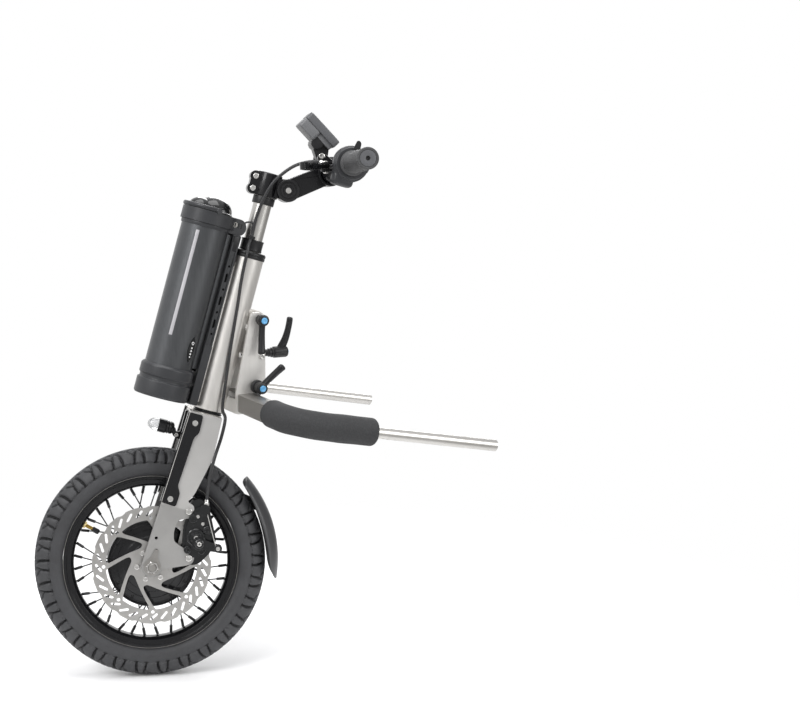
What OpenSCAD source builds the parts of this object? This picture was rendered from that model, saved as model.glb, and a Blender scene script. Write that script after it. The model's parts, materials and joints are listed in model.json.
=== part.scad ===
// Wheelchair power assist: a clip-on front drive wheel with its column, battery, handlebar and arms.
// Frame: +X is the way of travel, +Y is left, +Z is up. The origin is midway between the two arm ends.
// Column parts are drawn in a frame whose Z runs up the steering axis and whose X points forward from it.

/* [Steering] */
// Lean of the steering axis back from upright, in degrees
lean = 17; // [12:0.5:22]
// How far the steering is turned to the right at rest, in degrees
steer_rest = 19; // [0:1:22]
// Distance of the axle ahead of the steering axis
rake = 25; // [20:1:30]

/* [Wheel] */
// Outside radius of the tyre
tyre_r = 176; // [168:1:184]
// Radius of the tyre's cross-section
tyre_section_r = 25; // [24:0.5:26]
// Thickness of the tyre's casing
tyre_wall = 3; // [2:0.5:4]
// Radius of the rim's flanges
rim_flange_r = 133; // [132:0.5:134]
// Radius of the rim's inner face
rim_inner_r = 117; // [114:1:118]
// Half width of the rim
rim_half_w = 16; // [15:0.5:17]
// Number of spokes
spoke_count = 36; // [24:4:40]
// Radius of a spoke
spoke_r = 1; // [0.8:0.1:1.3]
// Radius of the hub motor's shell
hub_r = 66.5; // [64:0.5:70]
// Half width of the hub motor's shell at its rim
hub_half_w = 25; // [22:1:26]
// Radius of the brake rotor
rotor_r = 90; // [86:1:92]
// Thickness of the brake rotor
rotor_t = 1.9; // [1.6:0.1:2.2]
// Number of arms in the brake rotor
rotor_arms = 8; // [6:1:8]

/* [Fork] */
// Distance from the wheel's middle plane to the inside of a fork blade
fork_half_gap = 50; // [49:0.5:54]
// Thickness of a fork blade
blade_t = 6; // [5:0.5:8]
// Height from the top of the tyre to the crown
crown_clear = 46; // [42:1:60]
// Height of the fork crown
crown_h = 21; // [18:1:26]
// Radius of the axle's threaded ends
axle_r = 6; // [5:0.5:7]

/* [Column] */
// Outside radius of the head tube
head_r = 24; // [23:0.5:26]
// Length of the head tube
head_len = 245; // [235:1:260]
// Outside radius of the mast
mast_r = 14.3; // [13:0.1:15]
// Length of the mast above the head tube
mast_len = 129; // [125:1:140]
// Height of the stem clamp on the mast
stem_clamp_h = 37; // [34:1:40]

/* [Battery] */
// Radius of the battery's shell
battery_r = 36; // [34:0.5:37]
// Distance of the battery's axis ahead of the steering axis
battery_p = 82; // [81:0.5:86]
// Height of the battery's shell
battery_h = 285; // [280:1:290]
// Radius of the battery's bottom cup
cup_r = 41.5; // [40:0.5:42]
// Height of the battery's bottom cup
cup_h = 50; // [45:1:52]
// How far the battery lifts on its rail before it is free
battery_lift = 40; // [20:1:42]

/* [Handlebar] */
// Length of the stem arm from its pivot to the bar
stem_arm_len = 70; // [68:1:76]
// Angle of the stem arm above the rearward direction, in degrees
stem_arm_angle = 37.5; // [30:0.5:42]
// Radius of the bar at the grips
bar_r = 11.1; // [10.5:0.1:11.5]
// Radius of the bar at the stem
bar_clamp_r = 15.9; // [14:0.1:16.5]
// Radius of the grips
grip_r = 16; // [15:0.5:17]
// Length of a grip
grip_len = 112; // [100:1:125]
// Length of the display
display_l = 63; // [58:1:68]
// Width of the display
display_w = 58; // [50:1:64]
// Thickness of the display
display_t = 28; // [24:1:30]

/* [Docking] */
// Length of an arm from the crossbar to its free end
arm_len = 340; // [300:1:380]
// Slope of the arms, down to the rear, in degrees
arm_slope = 11; // [6:0.5:14]
// Distance between the two arms
arm_spacing = 430; // [410:2:470]
// Outside radius of an arm tube
arm_r = 9; // [8:0.5:10]
// Radius of an arm's bend
arm_bend_r = 55; // [45:1:70]
// Outside radius of the foam sleeves
foam_r = 21; // [18:0.5:23]
// Length of arm left bare behind the foam
arm_bare = 190; // [150:1:220]
// Width of the square crossbar
crossbar_w = 28; // [26:1:30]
// Half length of the crossbar
crossbar_half = 124; // [110:1:140]
// Distance of the crossbar behind the steering axis
crossbar_back = 46.5; // [45.5:0.5:54]
// Thickness of the carriage's side plates
plate_t = 5; // [4:0.5:6]
// Length of a clamp lever's handle
lever_len = 54; // [45:1:60]

/* [Fits] */
// Radial clearance of a running fit
run_fit = 0.05; // [0.02:0.01:0.1]
// Gap between faces that pass each other
pass_gap = 0.3; // [0.2:0.05:0.4]

/* [Hidden] */
$fn = 64;

black = [0.10, 0.10, 0.11];
graphite = [0.20, 0.20, 0.21];
silver = [0.72, 0.71, 0.69];
steel = [0.62, 0.61, 0.60];
copper = [0.72, 0.42, 0.22];

// Heights up the steering axis, from the axle
crown_bot = tyre_r + crown_clear;
crown_top = crown_bot + crown_h;
seal_h = 5;
head_bot = crown_top + seal_h;
head_top = head_bot + head_len;
cap_h = 6;
cap_r = head_r + 1.5;
collar_h = 18;
collar_r = mast_r + 2.7;
collar_bot = head_top + cap_h + pass_gap;
clamp_bot = head_top + mast_len - stem_clamp_h;
clamp_top = head_top + mast_len;
spacer_h = 12;
bearing_r = 20;
bearing_h = 8;
mast_wall = 2.3;

// Places on the wheel's own axis, counted to the left
rotor_y = 38.5;
bearing_y = 28;
hub_boss_r = 30;
hub_boss_y = rotor_y;
axle_shoulder_r = 8;
hub_bearing_r = 17;
stator_r = 53;
cavity_r = 60;
cavity_half_w = 21;
axle_end = fork_half_gap + blade_t + 14;

// Fork blade outline, forward and up from the axle
lug_bolts = [[-32, 95], [-50, 26]];
guard_screws = [[-7, crown_bot + 5], [0, 107]];
guard_t = 2.5;
blade_outer = fork_half_gap + blade_t;

// Battery stack
battery_bot = head_bot + 2;
cup_floor = 6;
shell_bot = battery_bot + cup_floor;
shell_top = shell_bot + battery_h;
shell_wall = 3;
collar_ring_h = 19;
battery_collar_r = battery_r + 4;
battery_collar_bot = shell_top - collar_ring_h;
tab_end = 25;
tab_half_w = 13;
dome_base_r = battery_r - 2;
dome_h = 22;
dome_r = (dome_base_r * dome_base_r + dome_h * dome_h) / (2 * dome_h);
dome_wall = 2.5;
handle_r = battery_r + 2;
handle_half = 2.5;
handle_s = shell_top + pass_gap + handle_half;
handle_pin_r = 2;
cell_r = 9.1;
cell_h = 64.6;
cell_pitch = 65;
cell_layers = floor((battery_h - 12) / cell_pitch);
cells_round = 7;
cell_ring = 21.3;
rail_front = head_r + 3;
rail_base_t = 5;
rail_depth = 13;
rail_half_w = 16;
rail_wall = 6;
rail_bot = battery_bot + cup_h;
rail_top = battery_collar_bot - 4;
spine_half_w = rail_half_w - rail_wall - 0.5;
strip_half_w = 9;
key_r = 4;
key_p = tab_end + 22;
gauge_angle = 120;
gauge_arc = 14;
gauge_h = 32;
gauge_bot = battery_bot + 64;

// Stem and bar
pivot_p = -31;
pivot_s = clamp_bot + 18;
knuckle_r = 17.5;
knuckle_half = 14.7;
cheek_in = knuckle_half + pass_gap;
cheek_out = cheek_in + 7;
pivot_bolt_r = 5;
bar_p = pivot_p - stem_arm_len * cos(stem_arm_angle);
bar_s = pivot_s + stem_arm_len * sin(stem_arm_angle);
bar_clamp_half = 22;
bar_clamp_wall = 4;
bar_thick_half = 36;
display_clamp_w = 8;
display_clamp_y = bar_clamp_half + 2;
bar_bend = [bar_p - 13, 60, bar_s + 14];
bar_end_dir = [-9, 175, 8] / norm([-9, 175, 8]);
perch_z = 6;
perch_w = 14;
perch_turn = 20;
perch_wall = 5;
lever_reach = 32;
lever_gap = 3;
lever_ear = 4;
lever_pin_r = 3;
pod_z = perch_z + perch_w + 14;
pod_w = 26;
pod_r = 27;
throttle_w = 3.4;
grip_z = pod_z + pod_w + throttle_w + 2 * pass_gap;
grip_cap = 6;
bar_end_z = grip_z + grip_len - grip_cap;
button_r = 4;
button_travel = 1.5;
display_tilt = 31.8;
display_center = [bar_p + 33, 0, bar_s + 54];
display_hinge = [bar_p + 21, 0, bar_s + 21];
display_pin_r = 2.5;
display_ear_r = 6;

// Docking frame
crossbar_s = head_bot + 25;
crossbar_x = arm_len * cos(arm_slope);
crossbar_z = arm_len * sin(arm_slope);
foot_x = crossbar_x + crossbar_s * sin(lean) + crossbar_back * cos(lean);
foot_z = crossbar_z - crossbar_s * cos(lean) + crossbar_back * sin(lean);
half_bar = crossbar_w / 2;
plate_in = head_r + 0.8;
plate_out = plate_in + plate_t;
lug_p = -head_r - 8;
lug_s = crossbar_s + 129;
lug_in = 10;
lug_out = 16;
lug_r = 12;
stud_r = 4;
pivot_x = (lug_p + crossbar_back) * cos(lean) - (lug_s - crossbar_s) * sin(lean);
pivot_z = (lug_p + crossbar_back) * sin(lean) + (lug_s - crossbar_s) * cos(lean);
jaw_t = 3;
plate_rear = -half_bar - 18;
web_t = 5;
tilt_stud_z = 70;
tube_rear_x = (crossbar_back - head_r) / cos(lean) - tilt_stud_z * tan(lean);
hook_stud = [-15, half_bar + 11];
lever_hub_r = 10;
lever_hub_h = 28;
lever_lean = 42;
arm_wall = 2;
arm_core_r = arm_r - 0.2;
arm_in_bar = 60;
foam_start = crossbar_half + 1;
foam_stop = arm_len - arm_bare - foam_r;
arm_y = arm_spacing / 2;

// Lamp
lamp_r = 10.5;
lamp_s = crown_bot - 16;
lamp_pivot = [37, crown_bot - 24];
lamp_pin_r = 2;
lamp_tab_half = 3;
lamp_strap_front = 33;
lamp_len = 24;

// Caliper, forward and up from the axle
pad_center = [-52.6, 58.9];
pad_r = 9;
pad_gap = 0.6;
arm_boss = [-59, 52];
caliper_in = 31;
caliper_out = 62;

// Mudguard angles, up from the rearward direction
guard_low = 7;
guard_high = 57;
mudguard_gap = 20;
mudguard_half_w = 31;
mudguard_t = 2.5;

// Brake cable, drawn in the steering's turned frame
cable_r = 2.5;
cable_clip_s = collar_bot + 26.7;
cable_bar_route = [[bar_p + 6, bar_bend[1] + 3, bar_s + 8], [bar_p + 14, bar_bend[1] - 3, bar_s + 14],
    [bar_p + 22, bar_bend[1] - 9, bar_s + 19],
    [bar_p + 32.5, bar_bend[1] - 17, bar_s + 20.4], [pivot_p - 7, cheek_out + 14, bar_s + 15.4],
    [pivot_p + 6, cheek_out + 10, clamp_top + 25], [pivot_p + 17, cheek_out + 8, clamp_top + 3],
    [pivot_p + 23, cheek_out + 6.5, clamp_top - 18], [-4, mast_r + 10.7, clamp_bot - 3],
    [0, mast_r + 6.7, clamp_bot - 25], [3, mast_r + 4.7, cable_clip_s + 14],
    [5, mast_r + 3.7, cable_clip_s]];
cable_column_route = [[5, mast_r + 3.7, cable_clip_s - 1], [6, mast_r + 6.7, collar_bot + 10.7],
    [6, head_r + 5, head_top + 4], [5, head_r + 5, head_top - 23], [3, head_r + 4, head_top - 73],
    [-1, head_r + 4, head_top - 153],
    [-9, head_r + 3, head_bot + 42], [-19, head_r, head_bot + 8], [-27, head_r + 2, crown_top - 1],
    [-28, fork_half_gap - 10, crown_bot - 7], [-29, fork_half_gap, crown_bot - 37],
    [-34, blade_outer - 3, crown_bot - 72], [-42, blade_outer - 3, crown_bot - 100],
    [-44, blade_outer - 3, 112]];

module column_frame() {
    translate([foot_x, 0, foot_z])
        rotate([0, -lean, 0])
            children();
}

module steer_frame() {
    column_frame()
        rotate([0, 0, -steer_rest])
            children();
}

// Z of this frame points left along the axle, X forward, and Y down
module wheel_frame() {
    steer_frame()
        translate([rake, 0, 0])
            rotate([-90, 0, 0])
                children();
}

// Flat shape drawn forward and up from the axle, standing from y0 to y1 on the left
module beside_wheel(y0, y1) {
    steer_frame()
        translate([rake, y1, 0])
            rotate([90, 0, 0])
                linear_extrude(height = y1 - y0)
                    children();
}

// Flat shape drawn forward and up from the steering axis, standing from y0 to y1
module beside_column(y0, y1) {
    translate([0, y1, 0])
        rotate([90, 0, 0])
            linear_extrude(height = y1 - y0)
                children();
}

module crossbar_frame() {
    translate([crossbar_x, 0, crossbar_z])
        children();
}

// X of this frame points up along the arms' slope
module arm_frame() {
    crossbar_frame()
        rotate([0, -arm_slope, 0])
            children();
}

// Z runs outboard along the left grip, X points down and Y to the rear
module bar_side() {
    translate(bar_bend)
        rotate([0, acos(bar_end_dir[2]), atan2(bar_end_dir[1], bar_end_dir[0])])
            children();
}

module bar_frame() {
    steer_frame()
        bar_side()
            children();
}

module display_frame() {
    steer_frame()
        translate(display_center)
            rotate([0, -display_tilt, 0])
                children();
}

module both_sides() {
    children();
    mirror([0, 1, 0])
        children();
}

module rod(a, b, r) {
    d = b - a;
    translate(a)
        rotate([0, acos(d[2] / norm(d)), atan2(d[1], d[0])])
            cylinder(r = r, h = norm(d));
}

module ring(r_out, r_in, h) {
    difference() {
        cylinder(r = r_out, h = h);
        translate([0, 0, -1])
            cylinder(r = r_in, h = h + 2);
    }
}

// Cylinder along Y from y0 to y1 at a point given forward and up
module cross_pin(at, y0, y1, r) {
    translate([at[0], y1, at[1]])
        rotate([90, 0, 0])
            cylinder(r = r, h = y1 - y0);
}

// Tube of 8 sides swept along a route of points
function unit(v) = v / norm(v);
function heading(route, i) = unit(route[min(i + 1, len(route) - 1)] - route[max(i - 1, 0)]);
function side_of(h) = unit(cross(h, [1, 0, 0.2]));
function ring_points(c, h, r) = [for (k = [0:7])
    c + r * (cos(45 * k) * side_of(h) + sin(45 * k) * cross(h, side_of(h)))];

module swept_cable(route, r) {
    last = len(route) - 1;
    points = [for (i = [0:last]) each ring_points(route[i], heading(route, i), r)];
    walls = [for (i = [0:last - 1], k = [0:7]) each [
        [8 * i + k, 8 * i + (k + 1) % 8, 8 * i + 8 + k],
        [8 * i + (k + 1) % 8, 8 * i + 8 + (k + 1) % 8, 8 * i + 8 + k]]];
    first_cap = [for (k = [1:6]) [0, k + 1, k]];
    last_cap = [for (k = [1:6]) [8 * last, 8 * last + k, 8 * last + k + 1]];
    polyhedron(points = points, faces = concat(walls, first_cap, last_cap));
}

// Clamp lever along Z: its stud, its hub and its handle, which leans away from the stud
module clamp_lever(stud_from, hub_from) {
    translate([0, 0, stud_from])
        cylinder(r = stud_r, h = hub_from - stud_from + 6);
    translate([0, 0, hub_from])
        cylinder(r = lever_hub_r - 1.5, h = 4);
    translate([0, 0, hub_from + 4])
        cylinder(r = lever_hub_r, h = lever_hub_h - 4);
    knee = [lever_len * 0.5, 0, hub_from + lever_lean * 0.6];
    tip = [lever_len, 0, hub_from + lever_lean];
    rod([0, 0, hub_from + 18], knee, 6);
    translate(knee)
        sphere(r = 6.2);
    rod(knee, tip, 5.5);
    translate(tip)
        sphere(r = 5.7);
}

module crossbar() {
    color(steel)
        crossbar_frame()
            difference() {
                translate([-half_bar, -crossbar_half, -half_bar])
                    cube([crossbar_w, 2 * crossbar_half, crossbar_w]);
                cross_pin([0, 0], -crossbar_half - 1, crossbar_half + 1, arm_core_r + run_fit);
            }
}

module plate_outline() {
    difference() {
        polygon([[pivot_x + 14, pivot_z + 11], [half_bar + jaw_t, half_bar + 4],
            [half_bar + jaw_t, -half_bar - jaw_t], [-half_bar + 4, -half_bar - jaw_t],
            [-half_bar + 4, -half_bar], [half_bar, -half_bar],
            [half_bar, half_bar], [plate_rear, half_bar], [plate_rear, pivot_z + 5],
            [plate_rear + 5, pivot_z + 11]]);
        translate([pivot_x, pivot_z])
            circle(r = stud_r + run_fit);
        translate(hook_stud)
            circle(r = stud_r + run_fit);
    }
}

module carriage() {
    color(silver)
        crossbar_frame() {
            both_sides()
                beside_column(plate_in, plate_out)
                    plate_outline();
            beside_column(-plate_in, plate_in)
                polygon([[half_bar, -half_bar], [half_bar, 6], [half_bar + jaw_t, 6],
                    [half_bar + jaw_t, -half_bar - jaw_t], [-half_bar + 4, -half_bar - jaw_t],
                    [-half_bar + 4, -half_bar]]);
            difference() {
                translate([plate_rear, -plate_in, half_bar + 20])
                    cube([web_t, 2 * plate_in, pivot_z - half_bar - 42]);
                translate([plate_rear - 1, 0, tilt_stud_z])
                    rotate([0, 90, 0])
                        cylinder(r = stud_r + run_fit, h = web_t + 2);
            }
        }
}

// Path of the left arm: out of the crossbar, round the bend and back to the free end
module arm_path(r, from_y, to_x) {
    straight = arm_y - arm_bend_r;
    translate([0, from_y, 0])
        rotate([-90, 0, 0])
            cylinder(r = r, h = straight - from_y);
    translate([-arm_bend_r, straight, 0])
        rotate_extrude(angle = 90)
            translate([arm_bend_r, 0])
                circle(r = r);
    translate([-arm_bend_r, arm_y, 0])
        rotate([0, -90, 0])
            cylinder(r = r, h = to_x - arm_bend_r);
}

module arm_tube() {
    color(silver)
        arm_frame()
            difference() {
                union() {
                    arm_path(arm_core_r, arm_in_bar, arm_len - arm_bare + 1);
                    translate([arm_bare - arm_len, arm_y, 0])
                        rotate([0, -90, 0])
                            cylinder(r = arm_r, h = arm_bare);
                }
                arm_path(arm_r - arm_wall, arm_in_bar - 1, arm_len + 1);
            }
}

module arm_foam() {
    color(graphite)
        arm_frame()
            difference() {
                arm_path(foam_r, foam_start, foam_stop);
                arm_path(arm_core_r, foam_start - 1, foam_stop + 1);
            }
}

module left_arm() {
    arm_tube();
}

module right_arm() {
    mirror([0, 1, 0])
        arm_tube();
}

module left_foam() {
    arm_foam();
}

module right_foam() {
    mirror([0, 1, 0])
        arm_foam();
}

// Clamps the column's tilt pivot: its handle hangs down on the left
module pivot_lever() {
    color(black)
        crossbar_frame()
            translate([pivot_x, 0, pivot_z])
                rotate([-90, 85, 0]) {
                    clamp_lever(-plate_out - pass_gap, plate_out + pass_gap);
                    translate([0, 0, -plate_out - pass_gap - 7])
                        cylinder(r = lever_hub_r - 1.5, h = 7);
                }
}

// Presses on the head tube from behind: its handle stands up
module tilt_lever() {
    color(black)
        crossbar_frame()
            translate([0, 0, tilt_stud_z])
                rotate([0, -90, 0])
                    clamp_lever(-tube_rear_x + 4.5, -plate_rear + 18);
}

// Closes the hook above the crossbar: its handle points up and back on the left
module hook_lever() {
    color(black)
        crossbar_frame()
            translate([hook_stud[0], 0, hook_stud[1]])
                rotate([-90, -131, 0]) {
                    clamp_lever(-plate_out - pass_gap, plate_out + 20);
                    translate([0, 0, -plate_out - pass_gap - 7])
                        cylinder(r = lever_hub_r - 1.5, h = 7);
                }
}

module head_tube() {
    color(silver)
        column_frame()
            difference() {
                union() {
                    translate([0, 0, head_bot])
                        cylinder(r = head_r, h = head_len);
                    both_sides()
                        beside_column(lug_in, lug_out)
                            difference() {
                                union() {
                                    translate([lug_p, lug_s])
                                        circle(r = lug_r);
                                    translate([lug_p, lug_s - lug_r])
                                        square([-lug_p, 2 * lug_r]);
                                }
                                translate([lug_p, lug_s])
                                    circle(r = stud_r + run_fit);
                            }
                    translate([0, -strip_half_w, head_bot + 8])
                        cube([rail_front, 2 * strip_half_w, head_len - 24]);
                }
                translate([0, 0, head_bot - 1])
                    cylinder(r = bearing_r, h = head_len + 2);
            }
}

// Top cap and the two bearings of the steering
module headset() {
    color(black)
        column_frame() {
            translate([0, 0, head_top])
                ring(cap_r, mast_r + pass_gap, cap_h);
            translate([0, 0, head_top - bearing_h])
                ring(bearing_r, mast_r + run_fit, bearing_h);
            translate([0, 0, head_bot])
                ring(bearing_r, mast_r + run_fit, bearing_h);
        }
}

module battery_rail() {
    color(graphite)
        column_frame()
            translate([rail_front, -rail_half_w, rail_bot])
                difference() {
                    cube([rail_depth, 2 * rail_half_w, rail_top - rail_bot]);
                    translate([rail_base_t, rail_wall, -1])
                        cube([rail_depth, 2 * (rail_half_w - rail_wall), rail_top - rail_bot + 2]);
                }
}

module battery_base() {
    color(black)
        column_frame()
            difference() {
                translate([rail_front, -rail_half_w, battery_bot])
                    cube([rail_depth, 2 * rail_half_w, cup_h]);
                translate([battery_p, 0, battery_bot - 1])
                    cylinder(r = cup_r + pass_gap, h = cup_h + 2);
            }
}

module battery_shell() {
    color(graphite)
        column_frame()
            difference() {
                union() {
                    translate([battery_p, 0, shell_bot])
                        cylinder(r = battery_r, h = battery_h);
                    translate([rail_front + rail_base_t + 1, -spine_half_w, rail_bot + 4])
                        cube([battery_p - rail_front - rail_base_t - 1, 2 * spine_half_w,
                            rail_top - rail_bot - 8]);
                }
                translate([battery_p, 0, shell_bot - 1])
                    cylinder(r = battery_r - shell_wall, h = battery_h + 2);
            }
}

module battery_cup() {
    color(black)
        column_frame()
            translate([battery_p, 0, battery_bot])
                rotate_extrude()
                    polygon([[0, 0], [cup_r - 2, 0], [cup_r, 3], [cup_r, cup_h * 0.52],
                        [cup_r - 2, cup_h * 0.56],
                        [cup_r - 2, cup_h * 0.6], [cup_r - 1, cup_h * 0.64], [cup_r - 1, cup_h - 3],
                        [battery_r, cup_h], [battery_r, cup_floor], [0, cup_floor]]);
}

module battery_collar() {
    color(black)
        column_frame()
            difference() {
                union() {
                    translate([battery_p, 0, battery_collar_bot])
                        cylinder(r = battery_collar_r, h = collar_ring_h);
                    translate([tab_end + tab_half_w, 0, battery_collar_bot])
                        cylinder(r = tab_half_w, h = collar_ring_h);
                    translate([tab_end + tab_half_w, -tab_half_w, battery_collar_bot])
                        cube([battery_p - tab_end - tab_half_w, 2 * tab_half_w, collar_ring_h]);
                }
                translate([battery_p, 0, battery_collar_bot - 1])
                    cylinder(r = battery_r, h = collar_ring_h + 2);
                cross_pin([key_p - 6, battery_collar_bot + collar_ring_h / 2], tab_half_w - 8,
                    tab_half_w + 6,
                    key_r + run_fit);
            }
}

module battery_dome() {
    color(black)
        column_frame()
            translate([battery_p, 0, shell_top]) {
                difference() {
                    intersection() {
                        translate([0, 0, dome_h - dome_r])
                            sphere(r = dome_r);
                        cylinder(r = battery_r, h = dome_h);
                    }
                    translate([0, 0, dome_h - dome_r])
                        sphere(r = dome_r - dome_wall);
                }
                ring(battery_r, dome_base_r - 1, 0.2);
                both_sides()
                    difference() {
                        cross_pin([0, handle_s - shell_top], dome_base_r - 6,
                            battery_r - 2 + handle_half - pass_gap, 4);
                        cross_pin([0, handle_s - shell_top], dome_base_r - 7, battery_r + 2,
                            handle_pin_r + run_fit);
                        translate([0, 0, dome_h - dome_r])
                            sphere(r = dome_r - dome_wall / 2);
                        translate([-6, 0, -8])
                            cube([12, battery_r + 3, 8]);
                    }
            }
}

// Cells in layers of eight, with the control board on top of them
module battery_core() {
    color(copper)
        column_frame()
            translate([battery_p, 0, shell_bot]) {
                for (layer = [0:cell_layers - 1])
                    translate([0, 0, layer * cell_pitch]) {
                        cylinder(r = cell_r, h = cell_h);
                        for (k = [0:cells_round - 1])
                            rotate([0, 0, 360 * k / cells_round])
                                translate([cell_ring, 0, 0])
                                    cylinder(r = cell_r, h = cell_h);
                    }
                translate([0, 0, cell_layers * cell_pitch])
                    cylinder(r = battery_r - shell_wall - 1, h = 2);
            }
}

module charge_gauge() {
    color("white")
        column_frame()
            translate([battery_p, 0, gauge_bot])
                rotate([0, 0, gauge_angle - gauge_arc / 2])
                    rotate_extrude(angle = gauge_arc)
                        translate([battery_r, 0])
                            square([1.4, gauge_h]);
}

module battery_key() {
    color(steel)
        column_frame()
            difference() {
                cross_pin([key_p - 6, battery_collar_bot + collar_ring_h / 2], tab_half_w - 7.8,
                    tab_half_w + 1.5,
                    key_r);
                translate([key_p - 7, tab_half_w, battery_collar_bot + collar_ring_h / 2 - 3])
                    cube([2, 3, 6]);
            }
}

// Carrying bail, folded forward round the dome
module battery_handle() {
    color(black)
        column_frame()
            translate([battery_p, 0, handle_s]) {
                rotate([0, 0, -90])
                    rotate_extrude(angle = 180)
                        translate([handle_r + handle_half, 0])
                            circle(r = handle_half);
                both_sides() {
                    translate([0, handle_r + handle_half, 0])
                        sphere(r = handle_half);
                    cross_pin([0, 0], dome_base_r + 0.2, handle_r + handle_half, handle_pin_r);
                }
            }
}

module mast() {
    color(silver)
        steer_frame()
            translate([0, 0, crown_bot])
                ring(mast_r, mast_r - mast_wall, clamp_top - crown_bot);
}

// Clamp collar above the head tube and spacer below the stem
module mast_collars() {
    color(black)
        steer_frame() {
            translate([0, 0, collar_bot])
                ring(collar_r, mast_r, collar_h);
            translate([0, 0, clamp_bot - spacer_h])
                ring(collar_r, mast_r, spacer_h);
        }
}

module fork_crown() {
    color(silver)
        steer_frame()
            difference() {
                union() {
                    translate([rake - 45, -fork_half_gap, crown_bot])
                        cube([49, 2 * fork_half_gap, crown_h]);
                    translate([0, 0, crown_top])
                        cylinder(r = head_r - 3, h = seal_h - pass_gap);
                    translate([rake + 4, -7, lamp_pivot[1] - 6])
                        cube([lamp_strap_front - rake - 4, 14, crown_top - lamp_pivot[1]]);
                    translate([lamp_strap_front, -lamp_tab_half, lamp_pivot[1] - 5])
                        cube([lamp_pivot[0] - lamp_strap_front, 2 * lamp_tab_half, 10]);
                    cross_pin(lamp_pivot, -lamp_tab_half, lamp_tab_half, 5);
                }
                translate([0, 0, crown_bot - 1])
                    cylinder(r = mast_r, h = crown_h + seal_h + 2);
                cross_pin(lamp_pivot, -lamp_tab_half - 1, lamp_tab_half + 1, lamp_pin_r + run_fit);
            }
}

// Rear edge of a blade, from its round end up; the left blade's edge steps out to the caliper's lugs
blade_rear_plain = [[-22, 40], [-19, 68], [-24, 103]];
blade_rear_lugs = [[-56, 18], [-58, 34], [-40, 38], [-19, 46], [-18, 80], [-41, 88], [-39, 105],
    [-24, 107]];

module blade(rear_edge) {
    round_end = [for (a = [0:-10:-180]) 16 * [cos(a), sin(a)]];
    difference() {
        polygon(concat([[4, crown_top], [11, 102], [14.6, 40]], round_end, rear_edge,
            [[-34, 122], [-47, 181], [-45, crown_top]]));
        circle(r = axle_r);
        translate([5, 44])
            circle(r = 2.2);
    }
}

module left_fork_blade() {
    color(silver)
        difference() {
            beside_wheel(fork_half_gap, blade_outer)
                blade(blade_rear_lugs);
            beside_wheel(fork_half_gap - 1, blade_outer + 1)
                for (at = lug_bolts)
                    translate(at)
                        circle(r = 3);
        }
}

module right_fork_blade() {
    color(silver)
        beside_wheel(-blade_outer, -fork_half_gap)
            blade(blade_rear_plain);
}

module guard_outline() {
    polygon([[5.5, crown_top - 2], [12.5, 99], [-11, 97], [-12, 119], [-6, 128], [-11, 205], [-17, 214],
        [-16, crown_top - 2]]);
}

module fork_guards() {
    color(black) {
        beside_wheel(blade_outer, blade_outer + guard_t)
            guard_outline();
        beside_wheel(-blade_outer - guard_t, -blade_outer)
            guard_outline();
    }
}

// Guard screws, stem pinch bolts, caliper bolts and axle nuts
module fork_fasteners() {
    color(steel)
        steer_frame() {
            both_sides() {
                translate([rake, 0, 0]) {
                    for (at = guard_screws)
                        cross_pin(at, blade_outer + guard_t, blade_outer + guard_t + 2.5, 4.5);
                    difference() {
                        union() {
                            cross_pin([0, 0], blade_outer, blade_outer + 2, 13);
                            translate([0, blade_outer + 10, 0])
                                rotate([90, 0, 0])
                                    cylinder(r = 11, h = 8, $fn = 6);
                        }
                        cross_pin([0, 0], blade_outer - 1, blade_outer + 12, axle_r);
                    }
                }
            }
            translate([rake, 0, 0])
                for (at = lug_bolts) {
                    cross_pin(at, fork_half_gap - 6, blade_outer, 3);
                    cross_pin(at, blade_outer, blade_outer + 4, 5);
                }
            for (s = [clamp_bot + 8, clamp_top - 10])
                cross_pin([22, s], knuckle_half - 0.7, knuckle_half + 3.3, 4.5);
        }
}

module axle() {
    color(steel)
        wheel_frame() {
            translate([0, 0, -axle_end])
                cylinder(r = axle_r, h = 2 * axle_end);
            translate([0, 0, -fork_half_gap])
                cylinder(r = axle_shoulder_r, h = 2 * fork_half_gap);
        }
}

module motor_stator() {
    color(copper)
        wheel_frame()
            translate([0, 0, -15])
                difference() {
                    cylinder(r = stator_r, h = 30);
                    translate([0, 0, -1])
                        cylinder(r = axle_shoulder_r, h = 32);
                    for (k = [0:17])
                        rotate([0, 0, 20 * k])
                            translate([stator_r - 18, -2, -1])
                                cube([20, 4, 32]);
                }
}

// Rear splash guard and the stay that holds it to the right blade
module mudguard() {
    inner = tyre_r + mudguard_gap - mudguard_t;
    color(black) {
        wheel_frame()
            rotate([0, 0, 180 + guard_low])
                rotate_extrude(angle = guard_high - guard_low)
                    difference() {
                        translate([inner + mudguard_t - 40, 0])
                            intersection() {
                                circle(r = 40);
                                translate([40 - 18, -mudguard_half_w])
                                    square([20, 2 * mudguard_half_w]);
                            }
                        translate([inner - 40, 0])
                            circle(r = 40);
                        translate([inner - 60, -mudguard_half_w - 1])
                            square([42, 2 * mudguard_half_w + 2]);
                    }
        steer_frame()
            translate([rake, 0, 0]) {
                translate([0, -mudguard_half_w + 2, 0])
                    rotate([90, 0, 0])
                        linear_extrude(height = 5)
                            polygon([[-40, 140], [-46, 128], [-140, 112], [-150, 118], [-146, 126]]);
                translate([-47, -fork_half_gap, 124])
                    cube([13, fork_half_gap - mudguard_half_w, 14]);
            }
    }
}

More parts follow.
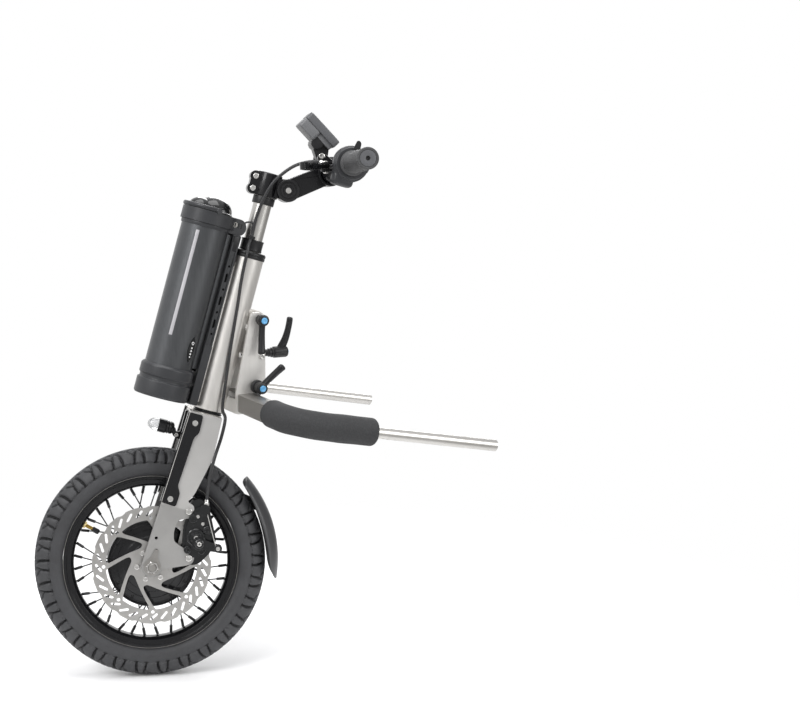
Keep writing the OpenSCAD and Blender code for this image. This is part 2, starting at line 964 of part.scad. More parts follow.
module caliper_body() {
    color(black)
        difference() {
            beside_wheel(caliper_in, caliper_out)
                polygon([[-34, 112], [-46, 118], [-76, 102], [-84, 60], [-72, 22], [-56, 14],
                    [-38, 30], [-30, 72]]);
            beside_wheel(rotor_y - 1.2, rotor_y + rotor_t + 1.2)
                circle(r = rotor_r + 3);
            beside_wheel(rotor_y, caliper_out - 4)
                translate(pad_center)
                    circle(r = pad_r + run_fit);
            beside_wheel(fork_half_gap, caliper_out + 1)
                blade(blade_rear_lugs);
            beside_wheel(fork_half_gap - 6, fork_half_gap + 1)
                for (at = lug_bolts)
                    translate(at)
                        circle(r = 3);
            beside_wheel(fork_half_gap, caliper_out + 1)
                for (at = lug_bolts)
                    translate(at)
                        circle(r = 7);
        }
}

module stem_clamp() {
    color(black)
        steer_frame()
            difference() {
                union() {
                    translate([0, 0, clamp_bot])
                        cylinder(r = mast_r + 5, h = stem_clamp_h);
                    translate([0, -knuckle_half + 0.7, clamp_bot + 2])
                        cube([29, 2 * knuckle_half - 1.4, stem_clamp_h - 4]);
                    translate([pivot_p, -knuckle_half, pivot_s - 13])
                        cube([-pivot_p, 2 * knuckle_half, 26]);
                    cross_pin([pivot_p, pivot_s], -knuckle_half, knuckle_half, knuckle_r);
                }
                translate([0, 0, clamp_bot - 20])
                    cylinder(r = mast_r, h = stem_clamp_h + 40);
                translate([0, -1, clamp_bot - 1])
                    cube([40, 2, stem_clamp_h + 2]);
                cross_pin([pivot_p, pivot_s], -knuckle_half - 1, knuckle_half + 1,
                    pivot_bolt_r + run_fit);
            }
}

module brake_cable_bar() {
    color(black)
        steer_frame()
            swept_cable(cable_bar_route, cable_r);
}

module brake_cable_column() {
    color(black)
        steer_frame()
            swept_cable(cable_column_route, cable_r);
}

module lamp_body() {
    color(black)
        steer_frame() {
            difference() {
                translate([lamp_pivot[0] + 6, 0, lamp_s])
                    rotate([0, 90, 0])
                        cylinder(r = lamp_r, h = lamp_len);
                translate([lamp_pivot[0] - 8, -lamp_tab_half - pass_gap, lamp_pivot[1] - 8])
                    cube([17, 2 * (lamp_tab_half + pass_gap), 16]);
            }
            both_sides() {
                cross_pin(lamp_pivot, lamp_tab_half + pass_gap, lamp_tab_half + 3, 3.7);
                translate([lamp_pivot[0], lamp_tab_half + pass_gap, lamp_pivot[1] - 2])
                    cube([9, 2.7, 8]);
            }
            cross_pin(lamp_pivot, -lamp_tab_half - 3, lamp_tab_half + 3, lamp_pin_r);
        }
}

module lamp_lens() {
    color("white")
        steer_frame()
            translate([lamp_pivot[0] + 6 + lamp_len, 0, lamp_s])
                rotate([0, 90, 0]) {
                    cylinder(r = lamp_r - 1, h = 6);
                    intersection() {
                        translate([0, 0, -3])
                            sphere(r = lamp_r + 2);
                        translate([0, 0, 6])
                            cylinder(r = lamp_r - 1, h = 10);
                    }
                }
}

module tyre() {
    centre = tyre_r - tyre_section_r;
    color(black)
        wheel_frame()
            rotate_extrude()
                difference() {
                    translate([centre, 0])
                        circle(r = tyre_section_r);
                    translate([centre, 0])
                        circle(r = tyre_section_r - tyre_wall);
                    translate([rim_flange_r - 40, -tyre_section_r])
                        square([40, 2 * tyre_section_r]);
                }
}

module rim() {
    bed_r = rim_inner_r + 6;
    color(graphite)
        wheel_frame()
            rotate_extrude()
                polygon([[rim_inner_r, -rim_half_w + 7], [rim_inner_r, rim_half_w - 7],
                    [bed_r - 1, rim_half_w - 1],
                    [rim_flange_r, rim_half_w], [rim_flange_r, rim_half_w - 2],
                        [bed_r + 3, rim_half_w - 3.5],
                    [bed_r, rim_half_w - 9], [bed_r, -rim_half_w + 9], [bed_r + 3, -rim_half_w + 3.5],
                    [rim_flange_r, -rim_half_w + 2], [rim_flange_r, -rim_half_w],
                        [bed_r - 1, -rim_half_w + 1]]);
}

function polar(r, a) = [r * cos(a), r * sin(a)];
function spoke_hub_end(a, y) = [(hub_r + 0.4) * cos(a), (hub_r + 0.4) * sin(a), y];
function spoke_rim_end(a, y) = [(rim_inner_r - 1.05) * cos(a), (rim_inner_r - 1.05) * sin(a), y];

// Spokes lean alternately forward and back, and each ends in its nipple
module spokes() {
    step = 360 / spoke_count;
    nipple = 0.22;
    color(steel)
        wheel_frame()
            for (k = [0:spoke_count - 1]) {
                side = k % 2 == 0 ? 1 : -1;
                leading = floor(k / 2) % 2 == 0;
                cross_angle = leading ? 12 : -12;
                hub_end = spoke_hub_end(k * step + cross_angle, side * (hub_half_w - (leading ? 2 : 6)));
                rim_end = spoke_rim_end(k * step, side * 2);
                rod(hub_end, rim_end, spoke_r);
                rod(rim_end + nipple * (hub_end - rim_end), rim_end, 2.2);
            }
}

module hub_shell() {
    color(black)
        wheel_frame()
            difference() {
                rotate_extrude()
                    polygon([[axle_shoulder_r + 1, -hub_boss_y + 1], [hub_boss_r, -hub_boss_y + 1],
                        [hub_boss_r + 4, -hub_boss_y + 5], [hub_r - 8, -hub_half_w - 2],
                            [hub_r, -hub_half_w],
                        [hub_r, hub_half_w], [hub_r - 8, hub_half_w + 2],
                            [hub_boss_r + 4, hub_boss_y - 5],
                        [hub_boss_r, hub_boss_y], [axle_shoulder_r + 1, hub_boss_y]]);
                translate([0, 0, -cavity_half_w])
                    cylinder(r = cavity_r, h = 2 * cavity_half_w);
                for (side = [-1, 1])
                    translate([0, 0, side * (bearing_y + 4) - 4])
                        cylinder(r = hub_bearing_r, h = 8);
            }
}

module hub_bearings() {
    color(steel)
        wheel_frame()
            for (side = [-1, 1])
                translate([0, 0, side * (bearing_y + 4) - 4])
                    ring(hub_bearing_r, axle_shoulder_r + run_fit, 8);
}

module magnets() {
    color(steel)
        wheel_frame()
            for (k = [0:19])
                rotate([0, 0, 18 * k])
                    translate([stator_r + 2, -7, -15])
                        cube([cavity_r - stator_r - 2.5, 14, 30]);
}

// Swept arms between the carrier and the braking ring, which has angled slots and a waved edge
module rotor() {
    waves = 2 * rotor_arms;
    rotor_band_r = rotor_r - 27;
    color(steel)
        wheel_frame()
            translate([0, 0, rotor_y])
                linear_extrude(height = rotor_t)
                    difference() {
                        union() {
                            difference() {
                                circle(r = rotor_r);
                                circle(r = rotor_band_r);
                                for (k = [0:waves - 1])
                                    rotate([0, 0, 360 * k / waves])
                                        translate([rotor_r + 13, 0])
                                            circle(r = 15);
                                for (k = [0:3 * rotor_arms - 1])
                                    rotate([0, 0, 120 * k / rotor_arms])
                                        translate([rotor_r - 9.5, 0])
                                            rotate([0, 0, 50])
                                                square([10, 3.4], center = true);
                                for (k = [0:rotor_arms - 1])
                                    rotate([0, 0, 360 * k / rotor_arms])
                                        translate([rotor_band_r + 8, 0])
                                            circle(r = 2.6);
                            }
                            circle(r = 38);
                            for (k = [0:rotor_arms - 1])
                                rotate([0, 0, 360 * k / rotor_arms])
                                    polygon([polar(34, -36), polar(50, -16.5), polar(rotor_band_r + 2,
                                        -4),
                                        polar(rotor_band_r + 2, 3), polar(50, -8), polar(34, -14)]);
                        }
                        circle(r = axle_shoulder_r + 6);
                        for (k = [0:5])
                            rotate([0, 0, 60 * k])
                                translate([22, 0])
                                    circle(r = 2.6);
                    }
}

module valve() {
    color(steel)
        wheel_frame()
            rotate([0, 0, -180 / spoke_count * 3])
                translate([rim_inner_r - 0.3, 0, 0])
                    rotate([0, -90, 0]) {
                        cylinder(r = 3, h = 20);
                        translate([0, 0, 20])
                            cylinder(r = 4, h = 12);
                    }
}

module caliper_arm() {
    color(black)
        steer_frame()
            translate([rake, 0, 0]) {
                cross_pin(arm_boss, caliper_out + pass_gap, caliper_out + 9, 9);
                translate([arm_boss[0] - 29, caliper_out + pass_gap, arm_boss[1] - 6])
                    cube([29, 5, 11]);
                cross_pin([arm_boss[0] - 29, arm_boss[1]], caliper_out + pass_gap, caliper_out + 8, 6);
            }
}

module brake_pad() {
    color(copper)
        beside_wheel(rotor_y + rotor_t + pad_gap, caliper_out - 10)
            translate(pad_center)
                circle(r = pad_r);
}

module stem_side() {
    reach = [bar_p - pivot_p, bar_s - pivot_s];
    n = [-reach[1], reach[0]] / norm(reach);
    difference() {
        union() {
            translate([pivot_p, pivot_s])
                circle(r = knuckle_r);
            translate([bar_p, bar_s])
                circle(r = bar_clamp_r + bar_clamp_wall);
            polygon([[pivot_p, pivot_s] + 16 * n, [bar_p, bar_s] + 15 * n, [bar_p, bar_s] - 15 * n,
                [pivot_p, pivot_s] - 16 * n]);
        }
        translate([pivot_p, pivot_s])
            circle(r = pivot_bolt_r);
        translate([bar_p, bar_s])
            circle(r = bar_clamp_r);
    }
}

module stem_arm() {
    web_from = (knuckle_r + 1.5) / stem_arm_len;
    reach = [bar_p - pivot_p, bar_s - pivot_s];
    n = [-reach[1], reach[0]] / norm(reach);
    start = [pivot_p, pivot_s] + web_from * reach;
    color(black)
        steer_frame() {
            both_sides()
                beside_column(cheek_in, cheek_out)
                    stem_side();
            beside_column(-cheek_in, cheek_in)
                difference() {
                    union() {
                        translate([bar_p, bar_s])
                            circle(r = bar_clamp_r + bar_clamp_wall);
                        polygon([start + 15 * n, [bar_p, bar_s] + 15 * n,
                            [bar_p, bar_s] - 15 * n, start - 15 * n]);
                    }
                    translate([bar_p, bar_s])
                        circle(r = bar_clamp_r);
                }
        }
}

module stem_pivot_bolt() {
    color(steel)
        steer_frame() {
            cross_pin([pivot_p, pivot_s], -cheek_out, cheek_out, pivot_bolt_r);
            both_sides()
                cross_pin([pivot_p, pivot_s], cheek_out, cheek_out + 3, knuckle_r);
        }
}

module handlebar() {
    bar_tip = bar_bend + bar_end_z * bar_end_dir;
    thick_end = [bar_p, bar_thick_half - 4, bar_s];
    color(black)
        steer_frame() {
            cross_pin([bar_p, bar_s], -bar_thick_half, bar_thick_half, bar_clamp_r);
            both_sides() {
                rod(thick_end, bar_bend, bar_r);
                translate(bar_bend)
                    sphere(r = bar_r + 0.2);
                rod(bar_bend, bar_tip, bar_r);
            }
        }
}

module grip() {
    difference() {
        union() {
            translate([0, 0, grip_z])
                cylinder(r = grip_r, h = grip_len);
            translate([0, 0, grip_z])
                cylinder(r = grip_r + 3, h = 4);
        }
        translate([0, 0, grip_z - 1])
            cylinder(r = bar_r, h = bar_end_z - grip_z + 1);
    }
}

module left_grip() {
    color(black)
        bar_frame()
            grip();
}

module right_grip() {
    color(black)
        steer_frame()
            mirror([0, 1, 0])
                bar_side()
                    grip();
}

module control_pod() {
    color(black)
        bar_frame()
            difference() {
                translate([0, 0, pod_z])
                    cylinder(r = pod_r, h = pod_w);
                translate([0, 0, pod_z - 1])
                    cylinder(r = bar_r, h = pod_w + 2);
                translate([0, pod_r - 8, pod_z + pod_w / 2])
                    rotate([-90, 0, 0])
                        cylinder(r = button_r + run_fit, h = 20);
            }
}

module pod_button() {
    color(steel)
        bar_frame()
            translate([0, pod_r - 8 + button_travel + 0.2, pod_z + pod_w / 2])
                rotate([-90, 0, 0])
                    cylinder(r = button_r, h = 8.5);
}

// Thumb lever that turns on the bar beside the pod
module throttle() {
    color(graphite)
        bar_frame()
            translate([0, 0, pod_z + pod_w + pass_gap]) {
                ring(bar_r + 7, bar_r + run_fit, throttle_w);
                rotate([0, 0, 160])
                    translate([bar_r + 4, -5, 0])
                        cube([20, 10, throttle_w]);
            }
}

module perch_ear(x0) {
    translate([x0, -lever_reach, perch_z])
        cube([lever_ear, lever_reach, perch_w]);
    translate([x0, -lever_reach, perch_z + perch_w / 2])
        rotate([0, 90, 0])
            cylinder(r = perch_w / 2, h = lever_ear);
}

module brake_perch() {
    color(black)
        bar_frame()
            rotate([0, 0, perch_turn])
            difference() {
                union() {
                    translate([0, 0, perch_z])
                        cylinder(r = bar_r + perch_wall, h = perch_w);
                    perch_ear(lever_gap + pass_gap);
                    perch_ear(-lever_gap - pass_gap - lever_ear);
                }
                translate([0, 0, perch_z - 1])
                    cylinder(r = bar_r, h = perch_w + 2);
                translate([-20, -lever_reach, perch_z + perch_w / 2])
                    rotate([0, 90, 0])
                        cylinder(r = lever_pin_r + run_fit, h = 40);
                translate([-lever_gap - pass_gap, -lever_reach - 9, perch_z - 1])
                    cube([2 * (lever_gap + pass_gap), 18, perch_w + 2]);
            }
}

// Blade swept forward and outboard from its pivot in the perch
module brake_lever() {
    color(black)
        bar_frame()
            rotate([0, 0, perch_turn])
            translate([0, -lever_reach, perch_z + perch_w / 2]) {
                translate([-lever_gap - pass_gap - lever_ear, 0, 0])
                    rotate([0, 90, 0])
                        cylinder(r = lever_pin_r, h = 2 * (lever_gap + pass_gap + lever_ear));
                translate([-lever_gap, 0, 0])
                    rotate([0, 90, 0])
                        cylinder(r = perch_w / 2 - 0.5, h = 2 * lever_gap);
                translate([lever_gap, 0, 0])
                    rotate([0, -90, 0])
                        linear_extrude(height = 2 * lever_gap)
                            polygon([[0, -6], [20, -20], [50, -40], [88, -54], [92, -52], [93, -48],
                                [90, -44], [54, -28], [26, -6], [10, 6], [0, 6]]);
            }
}

module display_clamp() {
    color(black)
        steer_frame()
            both_sides()
                beside_column(display_clamp_y, display_clamp_y + display_clamp_w)
                    difference() {
                        union() {
                            translate([bar_p, bar_s])
                                circle(r = bar_clamp_r + 4);
                            translate([display_hinge[0], display_hinge[2]])
                                circle(r = display_ear_r);
                            translate([bar_p, bar_s])
                                rotate([0, 0, 45])
                                    translate([0, -display_ear_r + 1])
                                        square([norm(display_hinge - [bar_p, 0, bar_s]),
                                            2 * display_ear_r - 2]);
                        }
                        translate([bar_p, bar_s])
                            circle(r = bar_clamp_r);
                        translate([display_hinge[0], display_hinge[2]])
                            circle(r = display_pin_r + run_fit);
                    }
}

module display_case() {
    hinge = [display_hinge[0], display_hinge[2]];
    lug_half = display_clamp_y - pass_gap;
    color(graphite) {
        display_frame()
            translate([-display_l / 2, -display_w / 2, -display_t / 2])
                cube([display_l, display_w, display_t]);
        steer_frame() {
            cross_pin(hinge, -lug_half - display_clamp_w, lug_half + display_clamp_w, display_pin_r);
            cross_pin(hinge, -lug_half, lug_half, display_ear_r - 1);
            translate([hinge[0], -lug_half, hinge[1]])
                rotate([0, -display_tilt, 0])
                    translate([-display_ear_r + 2, 0, 0])
                        cube([2 * display_ear_r - 4, 2 * lug_half, 14]);
        }
    }
}

module display_screen() {
    color("black")
        display_frame()
            translate([-display_l / 2 + 6, -display_w / 2 + 6, display_t / 2])
                cube([display_l - 12, display_w - 12, 0.8]);
}

crossbar();
carriage();
left_arm();
right_arm();
left_foam();
right_foam();
pivot_lever();
tilt_lever();
hook_lever();
head_tube();
headset();
battery_rail();
battery_base();
battery_shell();
battery_cup();
battery_collar();
battery_dome();
battery_core();
charge_gauge();
battery_key();
battery_handle();
mast();
mast_collars();
fork_crown();
left_fork_blade();
right_fork_blade();
fork_guards();
fork_fasteners();
axle();
motor_stator();
mudguard();
caliper_body();
stem_clamp();
brake_cable_bar();
brake_cable_column();
lamp_body();
lamp_lens();
tyre();
rim();
spokes();
hub_shell();
hub_bearings();
magnets();
rotor();
valve();
caliper_arm();
brake_pad();
stem_arm();
stem_pivot_bolt();
handlebar();
left_grip();
right_grip();
control_pod();
brake_perch();
display_clamp();
brake_lever();
throttle();
pod_button();
display_case();
display_screen();
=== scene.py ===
"""Wheelchair power assist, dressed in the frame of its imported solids. Sizes inside are millimetres."""
import json

import bmesh
import bpy
import numpy as np
from mathutils import Vector
from mathutils.geometry import delaunay_2d_cdt
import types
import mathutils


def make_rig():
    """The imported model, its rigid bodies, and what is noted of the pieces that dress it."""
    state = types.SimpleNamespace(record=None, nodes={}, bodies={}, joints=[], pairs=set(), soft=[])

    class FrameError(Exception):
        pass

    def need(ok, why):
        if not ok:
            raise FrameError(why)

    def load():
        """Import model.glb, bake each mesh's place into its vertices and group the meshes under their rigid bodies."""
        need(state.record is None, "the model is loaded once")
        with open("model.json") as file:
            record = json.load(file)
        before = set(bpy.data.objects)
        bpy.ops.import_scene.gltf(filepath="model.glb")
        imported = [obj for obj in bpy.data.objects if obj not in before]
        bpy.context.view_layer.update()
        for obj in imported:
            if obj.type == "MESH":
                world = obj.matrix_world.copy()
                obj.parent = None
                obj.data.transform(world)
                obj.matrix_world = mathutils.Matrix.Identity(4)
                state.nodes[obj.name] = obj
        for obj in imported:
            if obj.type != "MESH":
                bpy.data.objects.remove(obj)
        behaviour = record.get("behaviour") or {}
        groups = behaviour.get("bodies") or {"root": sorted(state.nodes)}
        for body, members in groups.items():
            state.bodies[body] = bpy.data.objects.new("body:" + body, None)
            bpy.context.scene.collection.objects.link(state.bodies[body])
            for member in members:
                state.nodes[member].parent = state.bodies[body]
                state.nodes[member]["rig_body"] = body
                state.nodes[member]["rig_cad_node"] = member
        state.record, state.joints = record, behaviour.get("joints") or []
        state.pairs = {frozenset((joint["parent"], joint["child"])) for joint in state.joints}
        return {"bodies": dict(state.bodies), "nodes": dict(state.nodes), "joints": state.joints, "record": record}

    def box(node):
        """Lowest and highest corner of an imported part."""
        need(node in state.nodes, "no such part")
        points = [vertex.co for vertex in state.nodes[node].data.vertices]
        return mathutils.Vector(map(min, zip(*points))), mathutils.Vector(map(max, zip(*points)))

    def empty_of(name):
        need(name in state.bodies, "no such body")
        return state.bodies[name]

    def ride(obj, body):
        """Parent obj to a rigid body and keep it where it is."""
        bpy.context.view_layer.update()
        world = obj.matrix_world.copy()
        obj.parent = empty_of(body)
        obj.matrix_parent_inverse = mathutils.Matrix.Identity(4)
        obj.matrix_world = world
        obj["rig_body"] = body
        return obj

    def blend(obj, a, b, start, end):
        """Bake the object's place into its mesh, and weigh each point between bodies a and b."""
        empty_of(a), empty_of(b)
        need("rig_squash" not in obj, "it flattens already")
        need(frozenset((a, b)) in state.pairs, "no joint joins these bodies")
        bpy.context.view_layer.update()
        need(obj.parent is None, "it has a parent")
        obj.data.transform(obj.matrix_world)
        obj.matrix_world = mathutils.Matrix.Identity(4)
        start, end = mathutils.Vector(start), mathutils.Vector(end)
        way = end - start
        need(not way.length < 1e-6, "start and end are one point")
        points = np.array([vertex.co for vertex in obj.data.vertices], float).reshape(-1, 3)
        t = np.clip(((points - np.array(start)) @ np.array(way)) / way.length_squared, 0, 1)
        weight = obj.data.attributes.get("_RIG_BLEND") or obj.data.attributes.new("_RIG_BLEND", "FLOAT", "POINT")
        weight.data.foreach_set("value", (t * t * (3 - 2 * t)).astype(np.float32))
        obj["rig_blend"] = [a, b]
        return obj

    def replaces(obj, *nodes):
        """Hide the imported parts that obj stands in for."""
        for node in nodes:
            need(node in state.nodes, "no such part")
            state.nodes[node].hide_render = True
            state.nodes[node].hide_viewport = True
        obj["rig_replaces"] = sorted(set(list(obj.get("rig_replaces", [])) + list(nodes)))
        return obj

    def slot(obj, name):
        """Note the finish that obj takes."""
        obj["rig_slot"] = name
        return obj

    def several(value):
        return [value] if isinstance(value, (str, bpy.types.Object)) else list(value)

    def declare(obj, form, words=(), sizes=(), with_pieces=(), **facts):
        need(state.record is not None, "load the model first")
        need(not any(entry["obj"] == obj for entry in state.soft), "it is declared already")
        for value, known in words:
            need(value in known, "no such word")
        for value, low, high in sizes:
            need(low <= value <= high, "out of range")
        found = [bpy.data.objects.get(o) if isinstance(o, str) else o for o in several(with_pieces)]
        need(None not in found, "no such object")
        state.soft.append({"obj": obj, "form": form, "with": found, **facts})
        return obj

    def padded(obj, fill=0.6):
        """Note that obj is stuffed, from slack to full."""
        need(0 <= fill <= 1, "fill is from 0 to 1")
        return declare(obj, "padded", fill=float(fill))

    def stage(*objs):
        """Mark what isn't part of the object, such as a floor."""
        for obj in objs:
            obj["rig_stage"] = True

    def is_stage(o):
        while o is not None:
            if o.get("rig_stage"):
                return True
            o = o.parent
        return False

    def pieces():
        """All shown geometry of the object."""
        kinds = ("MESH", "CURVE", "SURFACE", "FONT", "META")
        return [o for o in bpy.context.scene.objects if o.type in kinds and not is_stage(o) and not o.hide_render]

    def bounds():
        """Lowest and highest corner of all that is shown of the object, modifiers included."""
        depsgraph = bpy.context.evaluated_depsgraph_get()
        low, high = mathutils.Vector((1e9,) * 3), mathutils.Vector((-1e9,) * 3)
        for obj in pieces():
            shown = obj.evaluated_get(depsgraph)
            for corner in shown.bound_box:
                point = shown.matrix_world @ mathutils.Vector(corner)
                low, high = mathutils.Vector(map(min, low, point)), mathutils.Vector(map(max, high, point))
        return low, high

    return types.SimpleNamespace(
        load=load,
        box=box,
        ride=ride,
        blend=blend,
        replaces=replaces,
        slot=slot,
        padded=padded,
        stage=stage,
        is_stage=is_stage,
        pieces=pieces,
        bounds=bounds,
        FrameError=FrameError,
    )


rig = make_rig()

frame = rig.load()
cad_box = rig.bounds()
joints = {j["name"]: j for j in frame["joints"]}
TAU = 2 * np.pi
SIDES = (1, -1)


def unit(v):
    v = np.asarray(v, float)
    return v / np.linalg.norm(v)


class Frame:
    """A right-handed frame: millimetres along its own axes in, metres in the shared frame out."""

    def __init__(self, origin, x, y, z):
        self.origin = np.asarray(origin, float)
        self.axes = np.stack([unit(x), unit(y), unit(z)], 1)

    def __call__(self, points):
        return self.origin + np.asarray(points, float) @ self.axes.T / 1000

    def at(self, *point):
        return Frame(self(point), *self.axes.T)

    def turned(self, axis, degrees):
        """The same origin, turned about its own axis 0, 1 or 2."""
        c, s = np.cos(np.radians(degrees)), np.sin(np.radians(degrees))
        i, j = (axis + 1) % 3, (axis + 2) % 3
        axes = self.axes.copy()
        axes[:, i] = c * self.axes[:, i] + s * self.axes[:, j]
        axes[:, j] = c * self.axes[:, j] - s * self.axes[:, i]
        return Frame(self.origin, *axes.T)

    def sideways(self):
        """Z points left, X stays and Y points down, for shapes turned about a cross pin."""
        x, y, z = self.axes.T
        return Frame(self.origin, x, -z, y)

    def upright(self):
        """X stays, Y points up and Z to the right, for flat shapes that stand beside the column."""
        x, y, z = self.axes.T
        return Frame(self.origin, x, z, -y)

    def forward(self):
        """Z points along X, X to the left and Y up, for shapes turned about the way ahead."""
        x, y, z = self.axes.T
        return Frame(self.origin, y, z, x)


def pos(name):
    return np.array(joints[name]["pos_m"])


def axis(name):
    return unit(joints[name]["axis"])


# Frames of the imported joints: the column's, the steered one, the wheel's, the left grip's and the docking frame's.
UP, LEFT = axis("steer"), axis("wheel_spin")
FOOT = pos("steer") - 0.4 * UP
steer = Frame(FOOT, np.cross(LEFT, UP), LEFT, UP)
column = Frame(FOOT, np.cross((0, 1, 0), UP), (0, 1, 0), UP)
hub = steer.at(25, 0, 0)
wheel = hub.sideways()
bar_z, bar_y = axis("throttle_push"), -axis("button_press")
bar = Frame(pos("throttle_push"), np.cross(bar_y, bar_z), bar_y, bar_z).at(0, 0, -62)
perch = Frame(bar.origin, -axis("brake_pull"), np.cross(bar_z, -axis("brake_pull")), bar_z)
CROSSBAR = np.array(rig.box("crossbar"))
dock = Frame(CROSSBAR.mean(0), *np.eye(3))
PIVOT = dock.axes.T @ (pos("column_tilt") - dock.origin) * 1000
STEM = (steer.axes.T @ (pos("stem_tilt") - steer.origin) * 1000)[[0, 2]]
NECK_DEG, NECK_LONG = 142.5, 70
neck_way = np.array([np.cos(np.radians(NECK_DEG)), np.sin(np.radians(NECK_DEG))])
BAR = STEM + NECK_LONG * neck_way

# Measures that several pieces share: the tyre's ring and tube radius, with the count and length of its tread periods;
# the battery's place and radius; faces of the fork blades, their guards, the carriage plates and the rotor.
TYRE_RING, TYRE_TUBE, PERIODS, PITCH = 151, 25, 30, 36.8
PACK_X, PACK_R = 82, 36
BLADE_IN, BLADE_OUT, GUARD_OUT = 50, 56, 58.5
PLATE_IN, PLATE_OUT = 24.8, 29.8
ROTOR_OUT = 40.4


# Shapes. Each gives points in metres and lists of faces, so that several make one piece.

def soften(points, size, steps=4, closed=True):
    """Rounds every corner by a parabola that leaves the line `size` before it and joins it `size` after."""
    p = np.asarray(points, float)
    back, ahead = np.roll(p, 1, 0) - p, np.roll(p, -1, 0) - p
    lb, la = np.linalg.norm(back, axis=1), np.linalg.norm(ahead, axis=1)
    d = np.minimum(size, 0.47 * np.minimum(lb, la))[:, None]
    t = np.linspace(0, 1, steps + 1)[None, :, None]
    start, end = (p + back / lb[:, None] * d)[:, None], (p + ahead / la[:, None] * d)[:, None]
    curve = (1 - t) ** 2 * start + 2 * t * (1 - t) * p[:, None] + t ** 2 * end
    if closed:
        return curve.reshape(-1, p.shape[1])
    return np.concatenate([p[:1], curve[1:-1].reshape(-1, p.shape[1]), p[-1:]])


def spline(points, steps=8):
    """Catmull-Rom curve through the points."""
    p = np.asarray(points, float)
    p = np.concatenate([2 * p[:1] - p[1:2], p, 2 * p[-1:] - p[-2:-1]])
    t = np.linspace(0, 1, steps, endpoint=False)[None, :, None]
    a, b, c, d = (p[i:len(p) - 3 + i, None] for i in range(4))
    curve = 0.5 * (2 * b + (c - a) * t + (2 * a - 5 * b + 4 * c - d) * t ** 2 + (3 * b - a - 3 * c + d) * t ** 3)
    return np.concatenate([curve.reshape(-1, p.shape[1]), p[-2:-1]])


def arc(centre, radius, start, stop, steps=16):
    t = np.radians(np.linspace(start, stop, steps))
    return np.asarray(centre) + radius * np.stack([np.cos(t), np.sin(t)], 1)


def circle(centre, radius, steps=24):
    return arc(centre, radius, 0, 360 - 360 / steps, steps)


def slot_hole(centre, length, width, degrees, steps=7):
    """Oblong hole with round ends."""
    half, r = (length - width) / 2, width / 2
    p = np.concatenate([arc((half, 0), r, -90, 90, steps), arc((-half, 0), r, 90, 270, steps)])
    c, s = np.cos(np.radians(degrees)), np.sin(np.radians(degrees))
    return np.asarray(centre) + p @ np.array([[c, s], [-s, c]])


def loft(rings, loop=False):
    """Skin over rings of equally many points, closed by flat caps or looped back to the first ring."""
    rings = np.asarray(rings, float)
    k, n = rings.shape[:2]
    i, j = np.arange(k if loop else k - 1)[:, None], np.arange(n)[None, :]
    after, beside = (i + 1) % k, (j + 1) % n
    quads = np.stack([i * n + j, i * n + beside, after * n + beside, after * n + j], -1).reshape(-1, 4)
    caps = [] if loop else [np.arange(n)[None, ::-1], (k - 1) * n + np.arange(n)[None, :]]
    return rings.reshape(-1, 3), [quads] + caps


def lathe(frm, profile, n, loop=False, ripple=None):
    """Turns (radius, height) points round the frame's Z; ripple(angle, height) adds to the radius."""
    p = np.asarray(profile, float)
    t = np.linspace(0, TAU, n, endpoint=False)[None, :]
    z = np.broadcast_to(p[:, 1:], (len(p), n))
    r = p[:, :1] + (ripple(t, z) if ripple else 0 * t)
    return loft(frm(np.stack([r * np.cos(t), r * np.sin(t), z], -1)), loop)


def hoop(frm, section, edge, steps, n, ripple=None):
    """Ring round the frame's Z with a closed section of rounded corners."""
    return lathe(frm, soften(section, edge, steps), n, True, ripple)


def threaded(radius, deep, z0, z1, n):
    """Profile of a thread: n points that jump between two radii."""
    return np.c_[radius - deep * (np.arange(n) % 2), np.linspace(z0, z1, n)]


def spun(frm, profile, edge, steps, n, ripple=None):
    """Solid turned round the frame's Z from an open profile of rounded corners."""
    return lathe(frm, soften(profile, edge, steps, False), n, False, ripple)


def tube(path, radius, n, flat=1.0, side=(0.31, 0.67, 0.12)):
    """Skin of an oval section carried along a path in metres; radius and flatness are one value or one per point."""
    path = np.asarray(path, float)
    ahead = np.gradient(path, axis=0)
    ahead /= np.linalg.norm(ahead, axis=1)[:, None]
    sides = [np.asarray(side, float)]
    for t in ahead:
        sides.append(unit(sides[-1] - t * (sides[-1] @ t)))
    sides = np.array(sides[1:])
    ups = np.cross(ahead, sides)
    t = np.linspace(0, TAU, n, endpoint=False)[None, :, None]
    r = np.broadcast_to(np.asarray(radius, float) / 1000, len(path))[:, None, None]
    flat = np.broadcast_to(flat, len(path))[:, None, None]
    return loft(path[:, None] + r * (np.cos(t) * sides[:, None] + flat * np.sin(t) * ups[:, None]))


def inside(points, ring):
    """Even-odd test of points against a closed ring."""
    a, b = ring, np.roll(ring, -1, 0)
    x, y = points[:, :1], points[:, 1:]
    crosses = (a[:, 1] > y) != (b[:, 1] > y)
    rise = np.where(b[:, 1] == a[:, 1], 1, b[:, 1] - a[:, 1])
    return (crosses & (x < a[:, 0] + (y - a[:, 1]) / rise * (b[:, 0] - a[:, 0]))).sum(1) % 2


